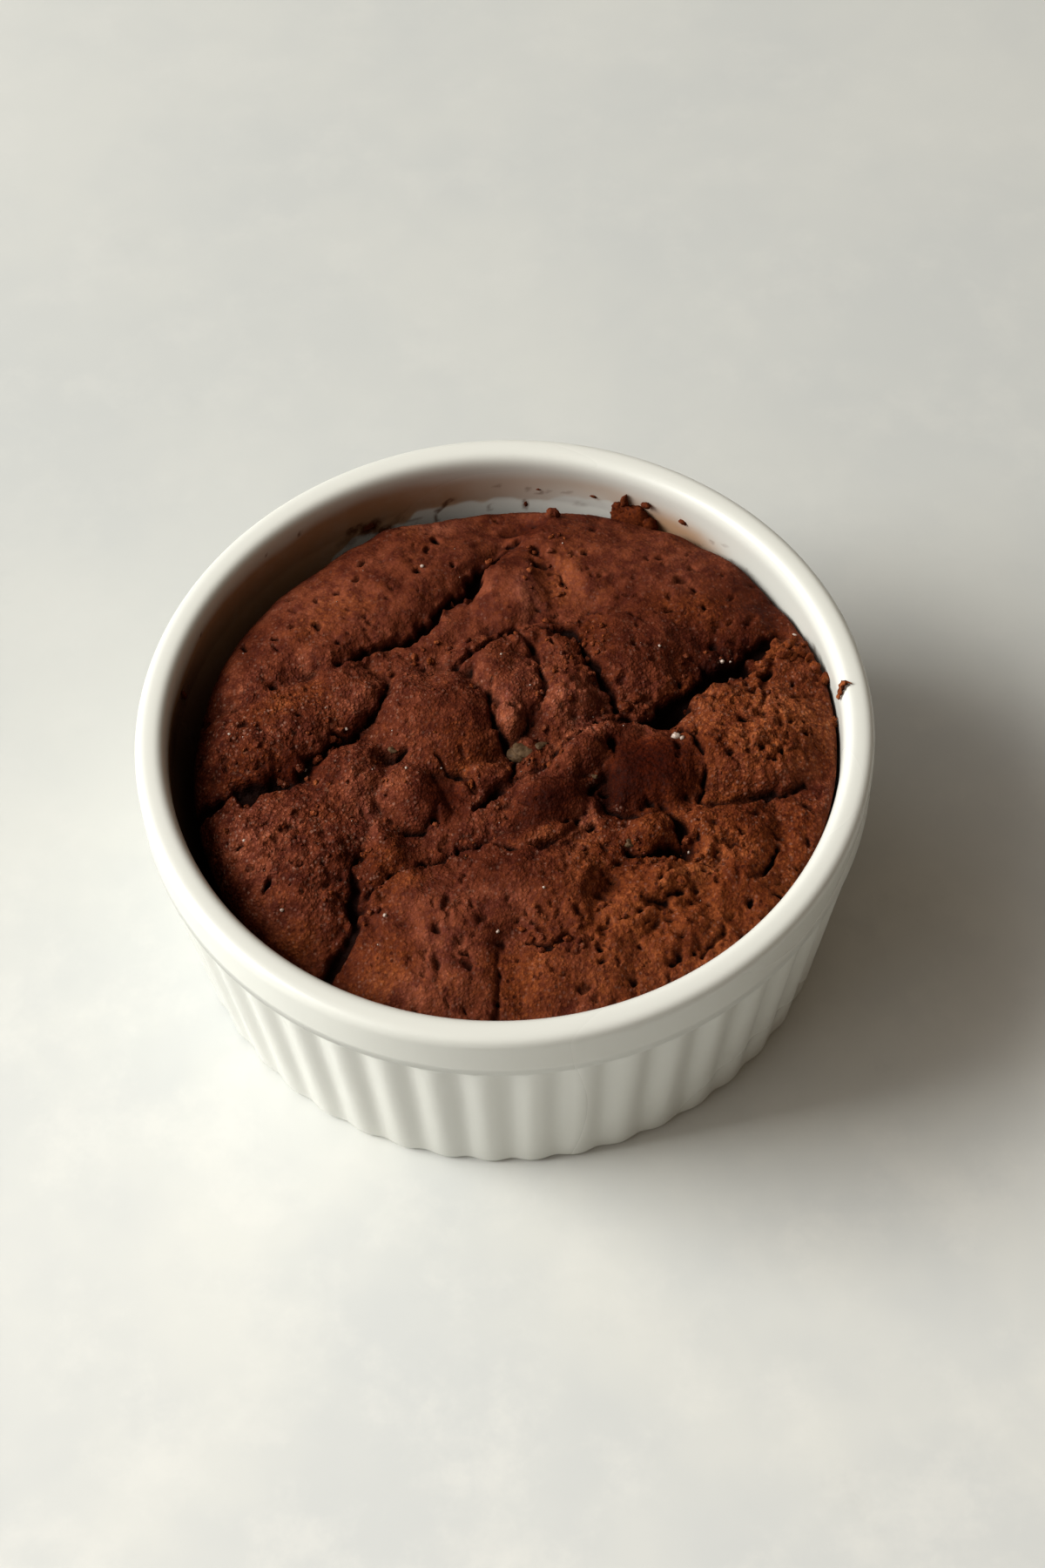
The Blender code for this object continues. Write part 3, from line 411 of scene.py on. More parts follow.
def blurred(field, radius):
    """The field smoothed by three box blurs of that radius in millimetres."""
    size = max(1, int(round(radius / MAP_STEP)))
    for axis in (0, 1) * 3:
        before = np.repeat(np.take(field, [0], axis), size + 1, axis)
        after = np.repeat(np.take(field, [-1], axis), size, axis)
        total = np.cumsum(np.concatenate([before, field, after], axis), axis, dtype=np.float64)
        count = field.shape[axis]
        high = np.take(total, range(2 * size + 1, 2 * size + 1 + count), axis)
        low = np.take(total, range(count), axis)
        field = ((high - low) / (2 * size + 1)).astype(np.float32)
    return field


def squared_reach(x, y, centre_x, centre_y, length, width, turn):
    """0 at the middle of a turned ellipse, 1 on its outline."""
    c, s = math.cos(math.radians(turn)), math.sin(math.radians(turn))
    along = ((x - centre_x) * c + (y - centre_y) * s) / length
    across = ((y - centre_y) * c - (x - centre_x) * s) / width
    return along**2 + across**2


def within(x, y, ellipse, power):
    """1 at the middle of a turned ellipse, 0 from its outline on, and fuller in between for a low power."""
    return np.clip(1 - squared_reach(x, y, *ellipse), 0, 1) ** power


def patch_map(x, y, patches, power):
    """The strongest of the patches at each point."""
    total = np.zeros_like(x)
    for *ellipse, amount in patches:
        total = np.maximum(total, amount * within(x, y, ellipse, power))
    return total


def smooth_highest(a, b, blend):
    """The higher of two surfaces, rounded where they meet."""
    near = np.clip(blend - np.abs(a - b), 0, None)
    return np.maximum(a, b) + near**2 / (4 * blend)


def smooth_path(points, step=0.5):
    """Points close together along a smooth curve through the given ones, column by column."""
    given = np.array(points, float)
    given = np.vstack([2 * given[0] - given[1], given, 2 * given[-1] - given[-2]])
    runs = []
    for before, start, end, after in zip(given, given[1:], given[2:], given[3:]):
        count = max(2, int(np.hypot(*(end - start)[:2]) / step))
        t = np.arange(count)[:, None] / count
        linear = (end - before) * t
        square = (2 * before - 5 * start + 4 * end - after) * t**2
        cube = (after - before + 3 * (start - end)) * t**3
        runs.append(0.5 * (2 * start + linear + square + cube))
    runs.append(given[-2:-1])
    return np.vstack(runs)


def crust_edge(turn):
    """The edge's radius, height and rounding at each azimuth, in radians."""
    table = np.array(CRUST_EDGE, float)
    full_turn = np.array((360, 0, 0, 0), float)
    table = np.vstack([table[-1] - full_turn, table, table[0] + full_turn])
    line = smooth_path(table, step=2.0)
    degrees = np.degrees(turn) % 360
    return [np.interp(degrees, line[:, 0], line[:, column]) for column in (1, 2, 3)]


# ---------------------------------------------------------------- the crust's relief

# Of the lumps: depth of the creases between them, how far down they go as a share of it, how softly lumps
# meet, the width of the faded edge as a share of the radius, and what is left of lumps and fissures at the very edge
CREASE_DEPTH = 2.6
CREASE_FLOOR = 0.75
LUMP_BLEND = 1.3
EDGE_FADE = 0.08
LUMPS_AT_EDGE = 0.45
FISSURES_AT_EDGE = 0.5

# Of each fissure: its reach, its share of depth as a slot, and as a soft valley that is that much wider
FISSURE_REACH = 6.0
SLOT_SHARE = 0.55
VALLEY_SHARE = 0.25
VALLEY_WIDER = 1.2

# Waves in the surface: height, scale, seed, layers, and the share that each next layer keeps
BROAD_WAVES = (0.40, 5.0, 51, 2, 0.5)
ROUGH_WAVES = (0.16, 2.2, 55, 2, 0.5)
TORN_WAVES = (0.34, 3.1, 57, 3, 0.7)
# Grains on it: height, scale, seed
COARSE_GRAINS = (0.52, 2.1, 71)
MIDDLE_GRAINS = (0.38, 1.15, 81)
FINE_GRAINS = (0.13, 0.6, 91)
# Holes in it: depth, scale, seed, their share anywhere, and how much more where the crumb is open or torn
LARGE_HOLES = (0.8, 2.4, 101, 0.01, 0.16, 0.05)
SMALL_HOLES = (0.5, 1.3, 111, 0.02, 0.22, 0.12)
# Painted shade in the hollows of the colour: radius of what is around a place, and how dark a millimetre below that
# is
HOLLOW_SHADES = ((0.8, 0.9), (2.2, 0.35))


def map_window(low, high):
    """The slices of the map between two corners."""
    last = 2 * MAP_HALF / MAP_STEP
    columns = [int(np.clip((v + MAP_HALF) / MAP_STEP, 0, last)) for v in (low[0], high[0])]
    rows = [int(np.clip((MAP_HALF - v) / MAP_STEP, 0, last)) for v in (high[1], low[1])]
    return slice(rows[0], rows[1] + 1), slice(columns[0], columns[1] + 1)


def along_fissure(x, y, points):
    """For each point of the map: how far the fissure is, and its half width and depth there."""
    nearest, width, depth = np.full_like(x, 99.0), np.ones_like(x), np.zeros_like(x)
    path = smooth_path(points)
    for start, end in zip(path, path[1:]):
        low, high = np.minimum(start, end)[:2], np.maximum(start, end)[:2]
        window = map_window(low - FISSURE_REACH, high + FISSURE_REACH)
        near_x, near_y = x[window], y[window]
        run = end - start
        t = ((near_x - start[0]) * run[0] + (near_y - start[1]) * run[1]) / (run[0] ** 2 + run[1] ** 2)
        t = np.clip(t, 0, 1)
        away = np.hypot(near_x - start[0] - t * run[0], near_y - start[1] - t * run[1])
        closer = away < nearest[window]
        nearest[window] = np.where(closer, away, nearest[window])
        width[window] = np.where(closer, start[2] + t * run[2], width[window])
        depth[window] = np.where(closer, start[3] + t * run[3], depth[window])
    return nearest, width, depth


def fissure_maps(x, y):
    """How deep the fissures' slots are over the map, and the valleys around them."""
    slot, valley = np.zeros_like(x), np.zeros_like(x)
    ragged = np.clip(0.75 + 0.6 * layered_noise(x, y, 2.4, 191, 3), 0.15, 1.5)
    wandering_x, wandering_y = moved(x, y, FISSURE_SHIFT)
    for points in FISSURES:
        nearest, width, depth = along_fissure(wandering_x, wandering_y, points)
        inside = 1 - smooth_step(0.35, 1.2, nearest / (width * ragged))
        slot = np.maximum(slot, SLOT_SHARE * depth * inside)
        soft = VALLEY_SHARE * depth * np.exp(-((nearest / (width + VALLEY_WIDER)) ** 2))
        valley = np.maximum(valley, soft)
    return slot, valley


def lump_height(x, y):
    """The lumps and the sunken places, over the plain dome."""
    total = np.full_like(x, -CREASE_FLOOR * CREASE_DEPTH)
    for *ellipse, rise in LUMPS:
        lump = (CREASE_DEPTH + rise) * within(x, y, ellipse, 0.5) - CREASE_DEPTH
        total = smooth_highest(total, lump, LUMP_BLEND)
    for *ellipse, depth in HOLLOWS:
        total -= depth * within(x, y, ellipse, 1.5)
    return total


def stamp_pits(height, x, y):
    """Presses the named pits into the map."""
    sunk = np.zeros_like(height)
    for pit_x, pit_y, radius, depth in PITS:
        reach = radius * 1.8
        window = map_window((pit_x - reach, pit_y - reach), (pit_x + reach, pit_y + reach))
        away = np.hypot(x[window] - pit_x, y[window] - pit_y) / radius
        sunk[window] = np.maximum(sunk[window], depth * (1 - smooth_step(0.35, 1.15, away)))
    height -= sunk


def add_crumb(height, x, y, openness, torn, smeared):
    """Raises waves and grains on the surface, and sinks holes and pits into it."""
    softened = 1 - 0.4 * smooth_step(0, 28, y) - 0.2 * smooth_step(-18, -32, y)
    roughness = softened * (0.55 + 0.55 * openness + 0.7 * torn) * (1 - 0.45 * smeared)
    for (rise, *noise), where in ((BROAD_WAVES, 1.0), (ROUGH_WAVES, roughness), (TORN_WAVES, torn)):
        height += rise * where * layered_noise(x, y, *noise)
    patchy = np.clip(0.8 + 0.7 * layered_noise(x, y, 6.5, 67, 2), 0.15, 1.6)
    grain_x, grain_y = moved(x, y, GRAIN_SHIFT)
    for rise, *kind in (COARSE_GRAINS, MIDDLE_GRAINS):
        height += rise * roughness * patchy * grains(grain_x, grain_y, *kind)
    rise, *kind = FINE_GRAINS
    height += rise * softened * grains(x, y, *kind)
    pit_x, pit_y = moved(x, y, PIT_SHIFT)
    for depth, scale, seed, anywhere, if_open, if_torn in (LARGE_HOLES, SMALL_HOLES):
        share = anywhere + if_open * openness + if_torn * torn
        height -= depth * holes(pit_x, pit_y, scale, seed, share)
    stamp_pits(height, pit_x, pit_y)


def hollow_shade_map(height, slot):
    """How far each place lies below what is around it, from 0 to 1, for the painted shade in hollows and fissures.
    """
    hollow_shade = np.clip(slot / 2.2, 0, 1)
    for radius, strength in HOLLOW_SHADES:
        hollow_shade = np.maximum(hollow_shade, np.clip((blurred(height, radius) - height) * strength, 0, 1))
    return hollow_shade


def tone_and_shade_map(x, y, bent_x, bent_y):
    """How light the crust's colour is, partly its own tone and partly painted light and shade: 0.5 is plain."""
    tone_and_shade = np.zeros_like(x)
    for *ellipse, amount in TONE_AND_SHADE_PATCHES:
        tone_and_shade += amount * within(bent_x, bent_y, ellipse, 0.7)
    tone_and_shade = blurred(tone_and_shade + 0.35 * layered_noise(x, y, 5.5, 131, 3, 0.7), 0.4)
    return np.clip(0.5 * 2.0 ** (STOPS_PER_TONE * tone_and_shade), 0, 1)


def crust_maps():
    """The crust's height and its colour shares over a square grid."""
    axis = np.arange(-MAP_HALF, MAP_HALF + MAP_STEP / 2, MAP_STEP, dtype=np.float32)
    x, y = np.meshgrid(axis, -axis)
    bent_x, bent_y = moved(x, y, LUMP_SHIFT)
    radius = np.hypot(x, y)
    edge_radius, edge_height, rounding = [v.astype(np.float32) for v in crust_edge(np.arctan2(y, x))]
    share = np.clip(radius / edge_radius, 0, 1)
    fade = np.clip((1 - share) / EDGE_FADE, 0, 1)
    slot, valley = fissure_maps(x, y)
    height = CAKE_TOP - (CAKE_TOP - edge_height) * share**DOME_POWER
    height += lump_height(bent_x, bent_y) * (LUMPS_AT_EDGE + (1 - LUMPS_AT_EDGE) * fade)
    height -= (slot + valley) * (FISSURES_AT_EDGE + (1 - FISSURES_AT_EDGE) * fade)

    openness = np.clip(blurred(patch_map(x, y, OPEN_CRUMB, 0.5), 1.5), 0, 1)
    # more of the dark wet colour in the fissures' slots, the deeper the more
    moist = np.clip(patch_map(x, y, MOIST_PATCHES, 0.7) + 0.5 * slot, 0, 1)
    torn = np.maximum(np.clip(valley / 0.8, 0, 1), patch_map(bent_x, bent_y, TORN, 0.6))
    add_crumb(height, x, y, openness, torn, moist * (slot < 0.2))
    hollow_shade = hollow_shade_map(height, slot)
    round_part = np.clip((radius - edge_radius) / rounding + 1, 0, 1)
    height -= rounding * (1 - np.sqrt(1 - round_part**2))
    orange = blurred(patch_map(bent_x, bent_y, ORANGE_PATCHES, 0.7), 0.8)
    orange = np.clip(orange + 0.22 * layered_noise(x, y, 4.0, 91, 3), 0, 1)
    # the light channel carries the crust's own tone together with painted light and shade
    light = tone_and_shade_map(x, y, bent_x, bent_y)
    return {"height": height, "hollow_shade": hollow_shade, "orange": orange, "moist": moist, "light": light}


def sampled(field, x, y):
    """The map's value at points, by the four grid values around each."""
    u = np.clip((x + MAP_HALF) / MAP_STEP, 0, field.shape[1] - 1.001)
    v = np.clip((MAP_HALF - y) / MAP_STEP, 0, field.shape[0] - 1.001)
    i, j = u.astype(int), v.astype(int)
    a, b = u - i, v - j
    low = field[j, i] * (1 - a) + field[j, i + 1] * a
    high = field[j + 1, i] * (1 - a) + field[j + 1, i + 1] * a
    return low * (1 - b) + high * b


# ---------------------------------------------------------------- meshes

# Of the cake's hidden side: its rings' shares of the way down, its colour shares, and how far in it lies
SIDE_SHARES = (0.08, 0.18, 0.3, 0.45, 0.7, 1.0)
SIDE_COLOUR = (0.5, 0.2, 0.3, 0.5)
SIDE_INSET = 0.2


def mesh_object(name, points, faces, smooth=True):
    """A mesh in metres from points in millimetres, linked into the scene."""
    mesh = bpy.data.meshes.new(name)
    mesh.from_pydata((np.asarray(points) * MM).tolist(), [], faces)
    mesh.validate()
    if smooth:
        mesh.shade_smooth()
    made = bpy.data.objects.new(name, mesh)
    bpy.context.collection.objects.link(made)
    return made


def paint(piece, name, values):
    """Stores an RGBA value for each point of the piece's mesh, for its material to read."""
    layer = piece.data.attributes.new(name, "FLOAT_COLOR", "POINT")
    layer.data.foreach_set("color", np.asarray(values, np.float32).ravel())


def quarter(step, start=0):
    """The turns along a quarter of a circle, every so many degrees, in radians."""
    return [math.radians(degrees) for degrees in range(start, 91, step)]


def ring_points(radius, turns, z):
    """Points around the middle, with one radius and height for all of them or for each."""
    return np.stack([radius * np.cos(turns), radius * np.sin(turns), z + 0 * turns], axis=1)


def ring_faces(first, second):
    """Quads between two rings of point numbers of one length."""
    after_first, after_second = np.roll(first, -1), np.roll(second, -1)
    return np.stack([first, after_first, after_second, second], axis=1).tolist()


def wall_radius(z):
    """The radius of the dish's inner wall at each height."""
    share = (z - FLOOR_TOP - FLOOR_FILLET) / (TAPER_TOP - FLOOR_TOP - FLOOR_FILLET)
    return FLOOR_RADIUS + (INNER_RADIUS - FLOOR_RADIUS) * np.minimum(share, 1.0)


def crust_disc():
    """Points and triangles of a disc out to the crust's edge, and the numbers of its outermost points."""
    points, faces = [np.zeros((1, 2))], []
    previous = np.zeros(1, int)
    start = 1
    for k in range(1, CAKE_RINGS + 1):
        around = np.arange(6 * k)
        turns = 2 * math.pi * around / (6 * k)
        points.append(ring_points(crust_edge(turns)[0] * k / CAKE_RINGS, turns, 0)[:, :2])
        sector, step = around // k, around % k
        ring = start + around
        after = np.roll(ring, -1)
        below, below_after = [previous[(sector * (k - 1) + step + more) % len(previous)] for more in (0, 1)]
        inner = step < k - 1
        faces.append(np.stack([ring, after, below], axis=1))
        faces.append(np.stack([after[inner], below_after[inner], below[inner]], axis=1))
        previous = ring
        start += 6 * k
    return np.vstack(points), np.vstack(faces).tolist(), previous


def side_rings(turns, edge_z):
    """Rings of the cake's hidden side, from the crust's edge down to the floor of the dish."""
    edge = crust_edge(turns)[0] - SIDE_INSET
    middle_z = FLOOR_TOP + FLOOR_FILLET
    rings = []
    for share in SIDE_SHARES:
        z = edge_z + (middle_z - edge_z) * share
        rough = 0.35 * layered_noise(turns * 45, z, 3.0, 101) * (share < 1.0)
        rings.append(ring_points(np.minimum(edge + rough, wall_radius(z) - WALL_GAP), turns, z))
    for turn in quarter(30, 30):
        inset = FLOOR_FILLET * (1 - math.cos(turn))
        z = middle_z + WALL_GAP - FLOOR_FILLET * math.sin(turn)
        rings.append(ring_points(np.minimum(edge, FLOOR_RADIUS - WALL_GAP) - inset, turns, z))
    return rings


def build_cake():
    """The cake, with the crust's relief on top, and the maps that it was made from."""
    maps = crust_maps()
    disc, faces, last = crust_disc()
    x, y = disc.T
    top = np.column_stack([disc, sampled(maps["height"], x, y)])
    colour = np.stack([sampled(maps[name], x, y) for name in ("hollow_shade", "orange", "moist", "light")], axis=1)
    count = len(last)
    rings = side_rings(2 * math.pi * np.arange(count) / count, top[last, 2])
    for number in range(len(rings)):
        ring = len(top) + number * count + np.arange(count)
        faces += ring_faces(ring, last)
        last = ring
    middle = len(top) + len(rings) * count
    faces += np.stack([last, np.full(count, middle), np.roll(last, -1)], axis=1).tolist()
    points = np.vstack([top, *rings, [(0.0, 0.0, FLOOR_TOP + WALL_GAP)]])
    cake = mesh_object("crust", points, faces)
    paint(cake, "crust", np.vstack([colour, np.tile(SIDE_COLOUR, (len(points) - len(top), 1))]))
    return cake, maps


def flute_valley(turn):
    """0 on the crest of a flute, 1 in the valley between two."""
    wave = np.cos(FLUTES * (turn - FLUTE_TURN) / 2)
    top = math.hypot(1, FLUTE_VALLEY_ROUND)
    return (top - np.hypot(wave, FLUTE_VALLEY_ROUND)) / (top - FLUTE_VALLEY_ROUND)


def crest_radius(z):
    """The radius of the flutes' crests at each height."""
    rise = (z - BASE_ROUND) / (BAND_BOTTOM - BASE_ROUND)
    return BASE_RADIUS + (RIM_RADIUS - BAND_STEP - BASE_RADIUS) * rise


def corner(middle_radius, middle_z, out, up, turns, squareness=2):
    """Rows along a rounded corner around its middle, that far out and up at the most."""
    power = 2 / squareness
    rows = []
    for turn in turns:
        radius = middle_radius + out * max(0.0, math.cos(turn)) ** power
        rows.append((radius, middle_z + up * math.sin(turn) ** power, 0.0))
    return rows


def fluted_rows():
    """From under the foot up to where the flutes end, below the band."""
    foot_outer = BASE_RADIUS - BASE_ROUND
    foot_inner = foot_outer - FOOT_WIDTH
    rows = [(foot_inner - FOOT_RECESS, FOOT_RECESS, 0.0), (foot_inner - FOOT_BEVEL, FOOT_BEVEL, 0.0),
            (foot_inner, 0.0, 0.0)]
    for turn in quarter(15):
        share = FLUTE_FOOT_SHARE * (0.6 + 0.4 * math.sin(turn))
        rows.append((foot_outer + BASE_ROUND * math.sin(turn), BASE_ROUND * (1 - math.cos(turn)), share))
    fluted_top = BAND_BOTTOM - FLUTE_END
    steps = [step / 10 for step in range(1, 11)]
    for t in steps:
        z = BASE_ROUND + (fluted_top - BASE_ROUND) * t
        rows.append((crest_radius(z), z, 1 - (1 - FLUTE_FOOT_SHARE) * (1 - t) ** 4))
    for t in steps:
        z = fluted_top + FLUTE_END * t
        rows.append((crest_radius(z), z, math.sqrt(max(0.0, 1 - t**2.2))))
    return rows


def plain_rows():
    """Up the band, over the rim and down the inner wall to the floor, in small steps where the wall shows."""
    rim_z, plain_z = DISH_HEIGHT - RIM_ROUND, BAND_BOTTOM + BAND_PLAIN
    inside_z, middle_z = DISH_HEIGHT - RIM_INSIDE, FLOOR_TOP + FLOOR_FILLET
    shown = np.arange(inside_z - WALL_STEP, SHOWN_WALL, -WALL_STEP)
    hidden = np.linspace(SHOWN_WALL - 1.0, middle_z, 7)
    down = quarter(6)[-2::-1]
    return [
        *corner(RIM_RADIUS, BAND_BOTTOM + BAND_LIFT, -BAND_STEP, BAND_STEP, quarter(22)),
        *[(RIM_RADIUS, plain_z + (rim_z - plain_z) * share, 0.0) for share in (0.25, 0.5, 0.75)],
        *corner(RIM_CREST, rim_z, RIM_RADIUS - RIM_CREST, RIM_ROUND, quarter(6), RIM_SQUARENESS),
        *corner(RIM_CREST, inside_z, INNER_RADIUS - RIM_CREST, RIM_INSIDE, down, RIM_SQUARENESS),
        *[(float(wall_radius(z)), z, 0.0) for z in (*shown, *hidden)],
        *corner(FLOOR_RADIUS - FLOOR_FILLET, middle_z, FLOOR_FILLET, -FLOOR_FILLET, quarter(15, 15)),
    ]


def leaned(x, y, z):
    """The real dish leans a little: its rim sits this far off the middle of its foot."""
    return x + LEAN[0] * z / DISH_HEIGHT, y + LEAN[1] * z / DISH_HEIGHT


def build_dish():
    """The dish, from rows of radius, height and share of the flutes' depth."""
    count = FLUTES * FLUTE_SIDES
    turns = FLUTE_TURN + 2 * math.pi * np.arange(count) / count
    valley = flute_valley(turns)
    points, faces = [], []
    for radius, z, share in (*fluted_rows(), *plain_rows()):
        points.append(ring_points(radius - share * FLUTE_DEPTH * valley, turns, z))
    rings = np.arange(len(points) * count).reshape(-1, count)
    for lower, upper in zip(rings, rings[1:]):
        faces += ring_faces(lower, upper)
    points.append(np.array([[0.0, 0.0, FLOOR_TOP], [0.0, 0.0, FOOT_RECESS]]))
    floor_middle, under_middle = rings.size, rings.size + 1
    faces += np.stack([rings[-1], np.roll(rings[-1], -1), np.full(count, floor_middle)], axis=1).tolist()
    faces += np.stack([np.roll(rings[0], -1), rings[0], np.full(count, under_middle)], axis=1).tolist()
    points = np.vstack(points)
    stain_and_shade = dish_stain_and_shade(points)
    points[:, 0], points[:, 1] = leaned(*points.T)
    dish = mesh_object("glazed_dish", points, faces)
    paint(dish, "stain_and_shade", stain_and_shade)
    return dish


def dish_stain_and_shade(points):
    """Red: brown film on the inner wall, partly baked-on batter and partly painted shade. Green: marks on it. Blue:
    painted shade on the left inner wall.
    """
    x, y, z = points.T
    turn = np.degrees(np.arctan2(y, x)) % 360
    inside = (np.hypot(x, y) < INNER_RADIUS + 0.6) & (z > FLOOR_TOP + FLOOR_FILLET)
    along = np.radians(turn) * INNER_RADIUS
    film_low = np.interp(turn, *np.array(FILM_EDGE).T) + 0.5 * layered_noise(along, 0 * z, 2.0, 211, 2)
    film_top = FILM_TOP + 0.5 * layered_noise(along, 0 * z, 9.0, 201, 2)
    film_turns, *film_amounts = np.array(FILM_AND_SHADE).T
    upper, lower = [np.interp(turn, film_turns, amounts) for amounts in film_amounts]
    film_and_shade = lower + (upper - lower) * smooth_step(*FILM_FADE, z)
    film_and_shade = film_and_shade * smooth_step(film_low - 0.3, film_low + 0.5, z)
    film_and_shade = film_and_shade * (1 - smooth_step(film_top - 3.5, film_top + 0.3, z))
    wall_shade = np.interp(turn, *np.array(WALL_SHADE).T) * (1 - smooth_step(*WALL_SHADE_FADE, z))
    ragged_along, ragged_z = moved(along, z, MARK_SHIFT)
    marks = np.zeros_like(z)
    for degrees, mark_z, length, height, tilt, strength in WALL_MARKS:
        mark_along = math.radians(degrees) * INNER_RADIUS
        away = squared_reach(ragged_along, ragged_z, mark_along, mark_z, length, height, -tilt)
        marks = np.maximum(marks, strength * smooth_step(1.3, 0.3, away))
    shares = np.stack([film_and_shade * inside, marks * inside, wall_shade * inside, 1 + 0 * z], axis=1)
    return np.clip(shares, 0, 1)


# ---------------------------------------------------------------- crumbs and bits

# Colour shares of the bits on the wall, large and small: painted hollow shade, orange, moist, light
LARGE_BIT = (0.1, 0.9, 0.75, 0.5)
SMALL_BIT = (0.2, 0.5, 0.2, 0.45)
# The rim flake's line: x, y, z, half width
RIM_FLAKE = ((47.5, 1.0, 42.3, 0.3), (47.9, 1.7, 43.1, 0.42), (48.2, 2.4, 43.55, 0.5),
             (48.8, 2.8, 43.8, 0.45), (49.5, 2.6, 43.75, 0.34))


def rough_ball(place, size, turn, rough, seed, rows=7):
    """Points and faces of an uneven ball: its middle, half lengths, turn in degrees, unevenness."""
    columns = 2 * rows
    polar, around = np.meshgrid(math.pi * np.arange(1, rows) / rows,
                                2 * math.pi * np.arange(columns) / columns, indexing="ij")
    out = np.stack([np.sin(polar) * np.cos(around), np.sin(polar) * np.sin(around), np.cos(polar)], axis=-1)
    out = np.vstack([[[0.0, 0.0, 1.0]], out.reshape(-1, 3), [[0.0, 0.0, -1.0]]])
    noise_x, noise_y = out[:, 0] + 1.7 * out[:, 2], out[:, 1] - 1.3 * out[:, 2] + 3.1 * seed
    swell = 1 + rough * layered_noise(noise_x, noise_y, 1.1, 7, 3, 0.6)
    x, y, z = (out * swell[:, None] * np.array(size)).T
    c, s = math.cos(math.radians(turn)), math.sin(math.radians(turn))
    points = np.stack([x * c - y * s, x * s + y * c, z], axis=1) + np.array(place)
    rings = 1 + np.arange((rows - 1) * columns).reshape(rows - 1, columns)
    last = len(points) - 1
    faces = np.stack([np.zeros(columns, int), rings[0], np.roll(rings[0], -1)], axis=1).tolist()
    for upper, lower in zip(rings, rings[1:]):
        faces += ring_faces(lower, upper)
    faces += np.stack([np.full(columns, last), np.roll(rings[-1], -1), rings[-1]], axis=1).tolist()
    return points, faces


def joined_balls(name, balls, shares=None):
    """One mesh of many balls, painted with each one's colour shares: painted hollow shade, orange, moist, light."""
    points, faces = [], []
    start = 0
    for ball_points, ball_faces in balls:
        points.append(ball_points)
        faces += [[start + corner for corner in face] for face in ball_faces]
        start += len(ball_points)
    piece = mesh_object(name, np.vstack(points), faces)
    if shares is not None:
        paint(piece, "crust", np.repeat(np.array(shares, float), [len(ball) for ball in points], axis=0))
    return piece


def on_crust(maps, x, y, rise):
    """A place that far over the crust."""
    return x, y, float(sampled(maps["height"], np.array([x]), np.array([y]))[0]) + rise


def build_wall_bits():
    """Crust stuck to the inner wall."""
    balls, shares = [], []
    for number, (degrees, inset, z, along, out, up) in enumerate(WALL_BITS):
        turn = math.radians(degrees)
        radius = INNER_RADIUS - inset
        place = (*leaned(radius * math.cos(turn), radius * math.sin(turn), z), z)
        balls.append(rough_ball(place, (along, out, up), degrees + 90, 0.35, number, 10))
        shares.append(LARGE_BIT if along > 1.1 else SMALL_BIT)
    return joined_balls("wall_bits", balls, shares)


def build_crumbs(maps):
    """The named crumbs, and dust of crumbs scattered over the torn places."""
    balls, shares = [], []
    for number, (x, y, length, width, up, turn, orange) in enumerate(CRUMBS):
        balls.append(rough_ball(on_crust(maps, x, y, 0.25 * up), (length, width, up), turn, 0.6, number))
        shares.append((0.0, orange, 0.0, 0.5))
    chance = np.random.default_rng(7)
    for number in range(CRUMB_DUST):
        middle_x, middle_y, length, width, tilt, _ = TORN[int(chance.integers(len(TORN)))]
        away, turn = math.sqrt(chance.random()), 2 * math.pi * chance.random()
        c, s = math.cos(math.radians(tilt)), math.sin(math.radians(tilt))
        u, v = length * away * math.cos(turn), width * away * math.sin(turn)
        x, y = middle_x + u * c - v * s, middle_y + u * s + v * c
        size = 0.22 + 0.4 * chance.random() ** 2
        spin, orange, light = 360 * chance.random(), chance.random(), 0.35 + 0.35 * chance.random()
        if math.hypot(x, y) > DUST_RADIUS:
            continue
        place = on_crust(maps, x, y, 0.3 * size)
        balls.append(rough_ball(place, (size, 0.8 * size, 0.7 * size), spin, 0.4, number, 5))
        shares.append((0.0, orange, 0.0, light))
    return joined_balls("loose_crumbs", balls, shares)


def build_sugar(maps):
    """The named grains of sugar, and dust of sugar over the whole crust."""
    balls = []
    for number, (x, y, radius) in enumerate(SUGAR):
        size = (radius, 0.85 * radius, 0.8 * radius)
        balls.append(rough_ball(on_crust(maps, x, y, 0.4 * radius), size, 50 * number, 0.25, number, 5))
    chance = np.random.default_rng(11)
    for number in range(SUGAR_DUST):
        away, turn = SUGAR_RADIUS * math.sqrt(chance.random()), 2 * math.pi * chance.random()
        size = 0.07 + 0.07 * chance.random()
        place = on_crust(maps, away * math.cos(turn), away * math.sin(turn), 0.4 * size)
        balls.append(rough_ball(place, (size, size, size), 0, 0.2, number, 4))
    return joined_balls("sugar_grains", balls)


def build_banana(maps):
    """Bits of banana, sunk a little into the crust."""
    balls = []
    for number, (x, y, length, width, up, turn) in enumerate(BANANA):
        balls.append(rough_ball(on_crust(maps, x, y, -0.3 * up), (length, width, up), turn, 0.5, number, 12))
    return joined_balls("banana_bits", balls)


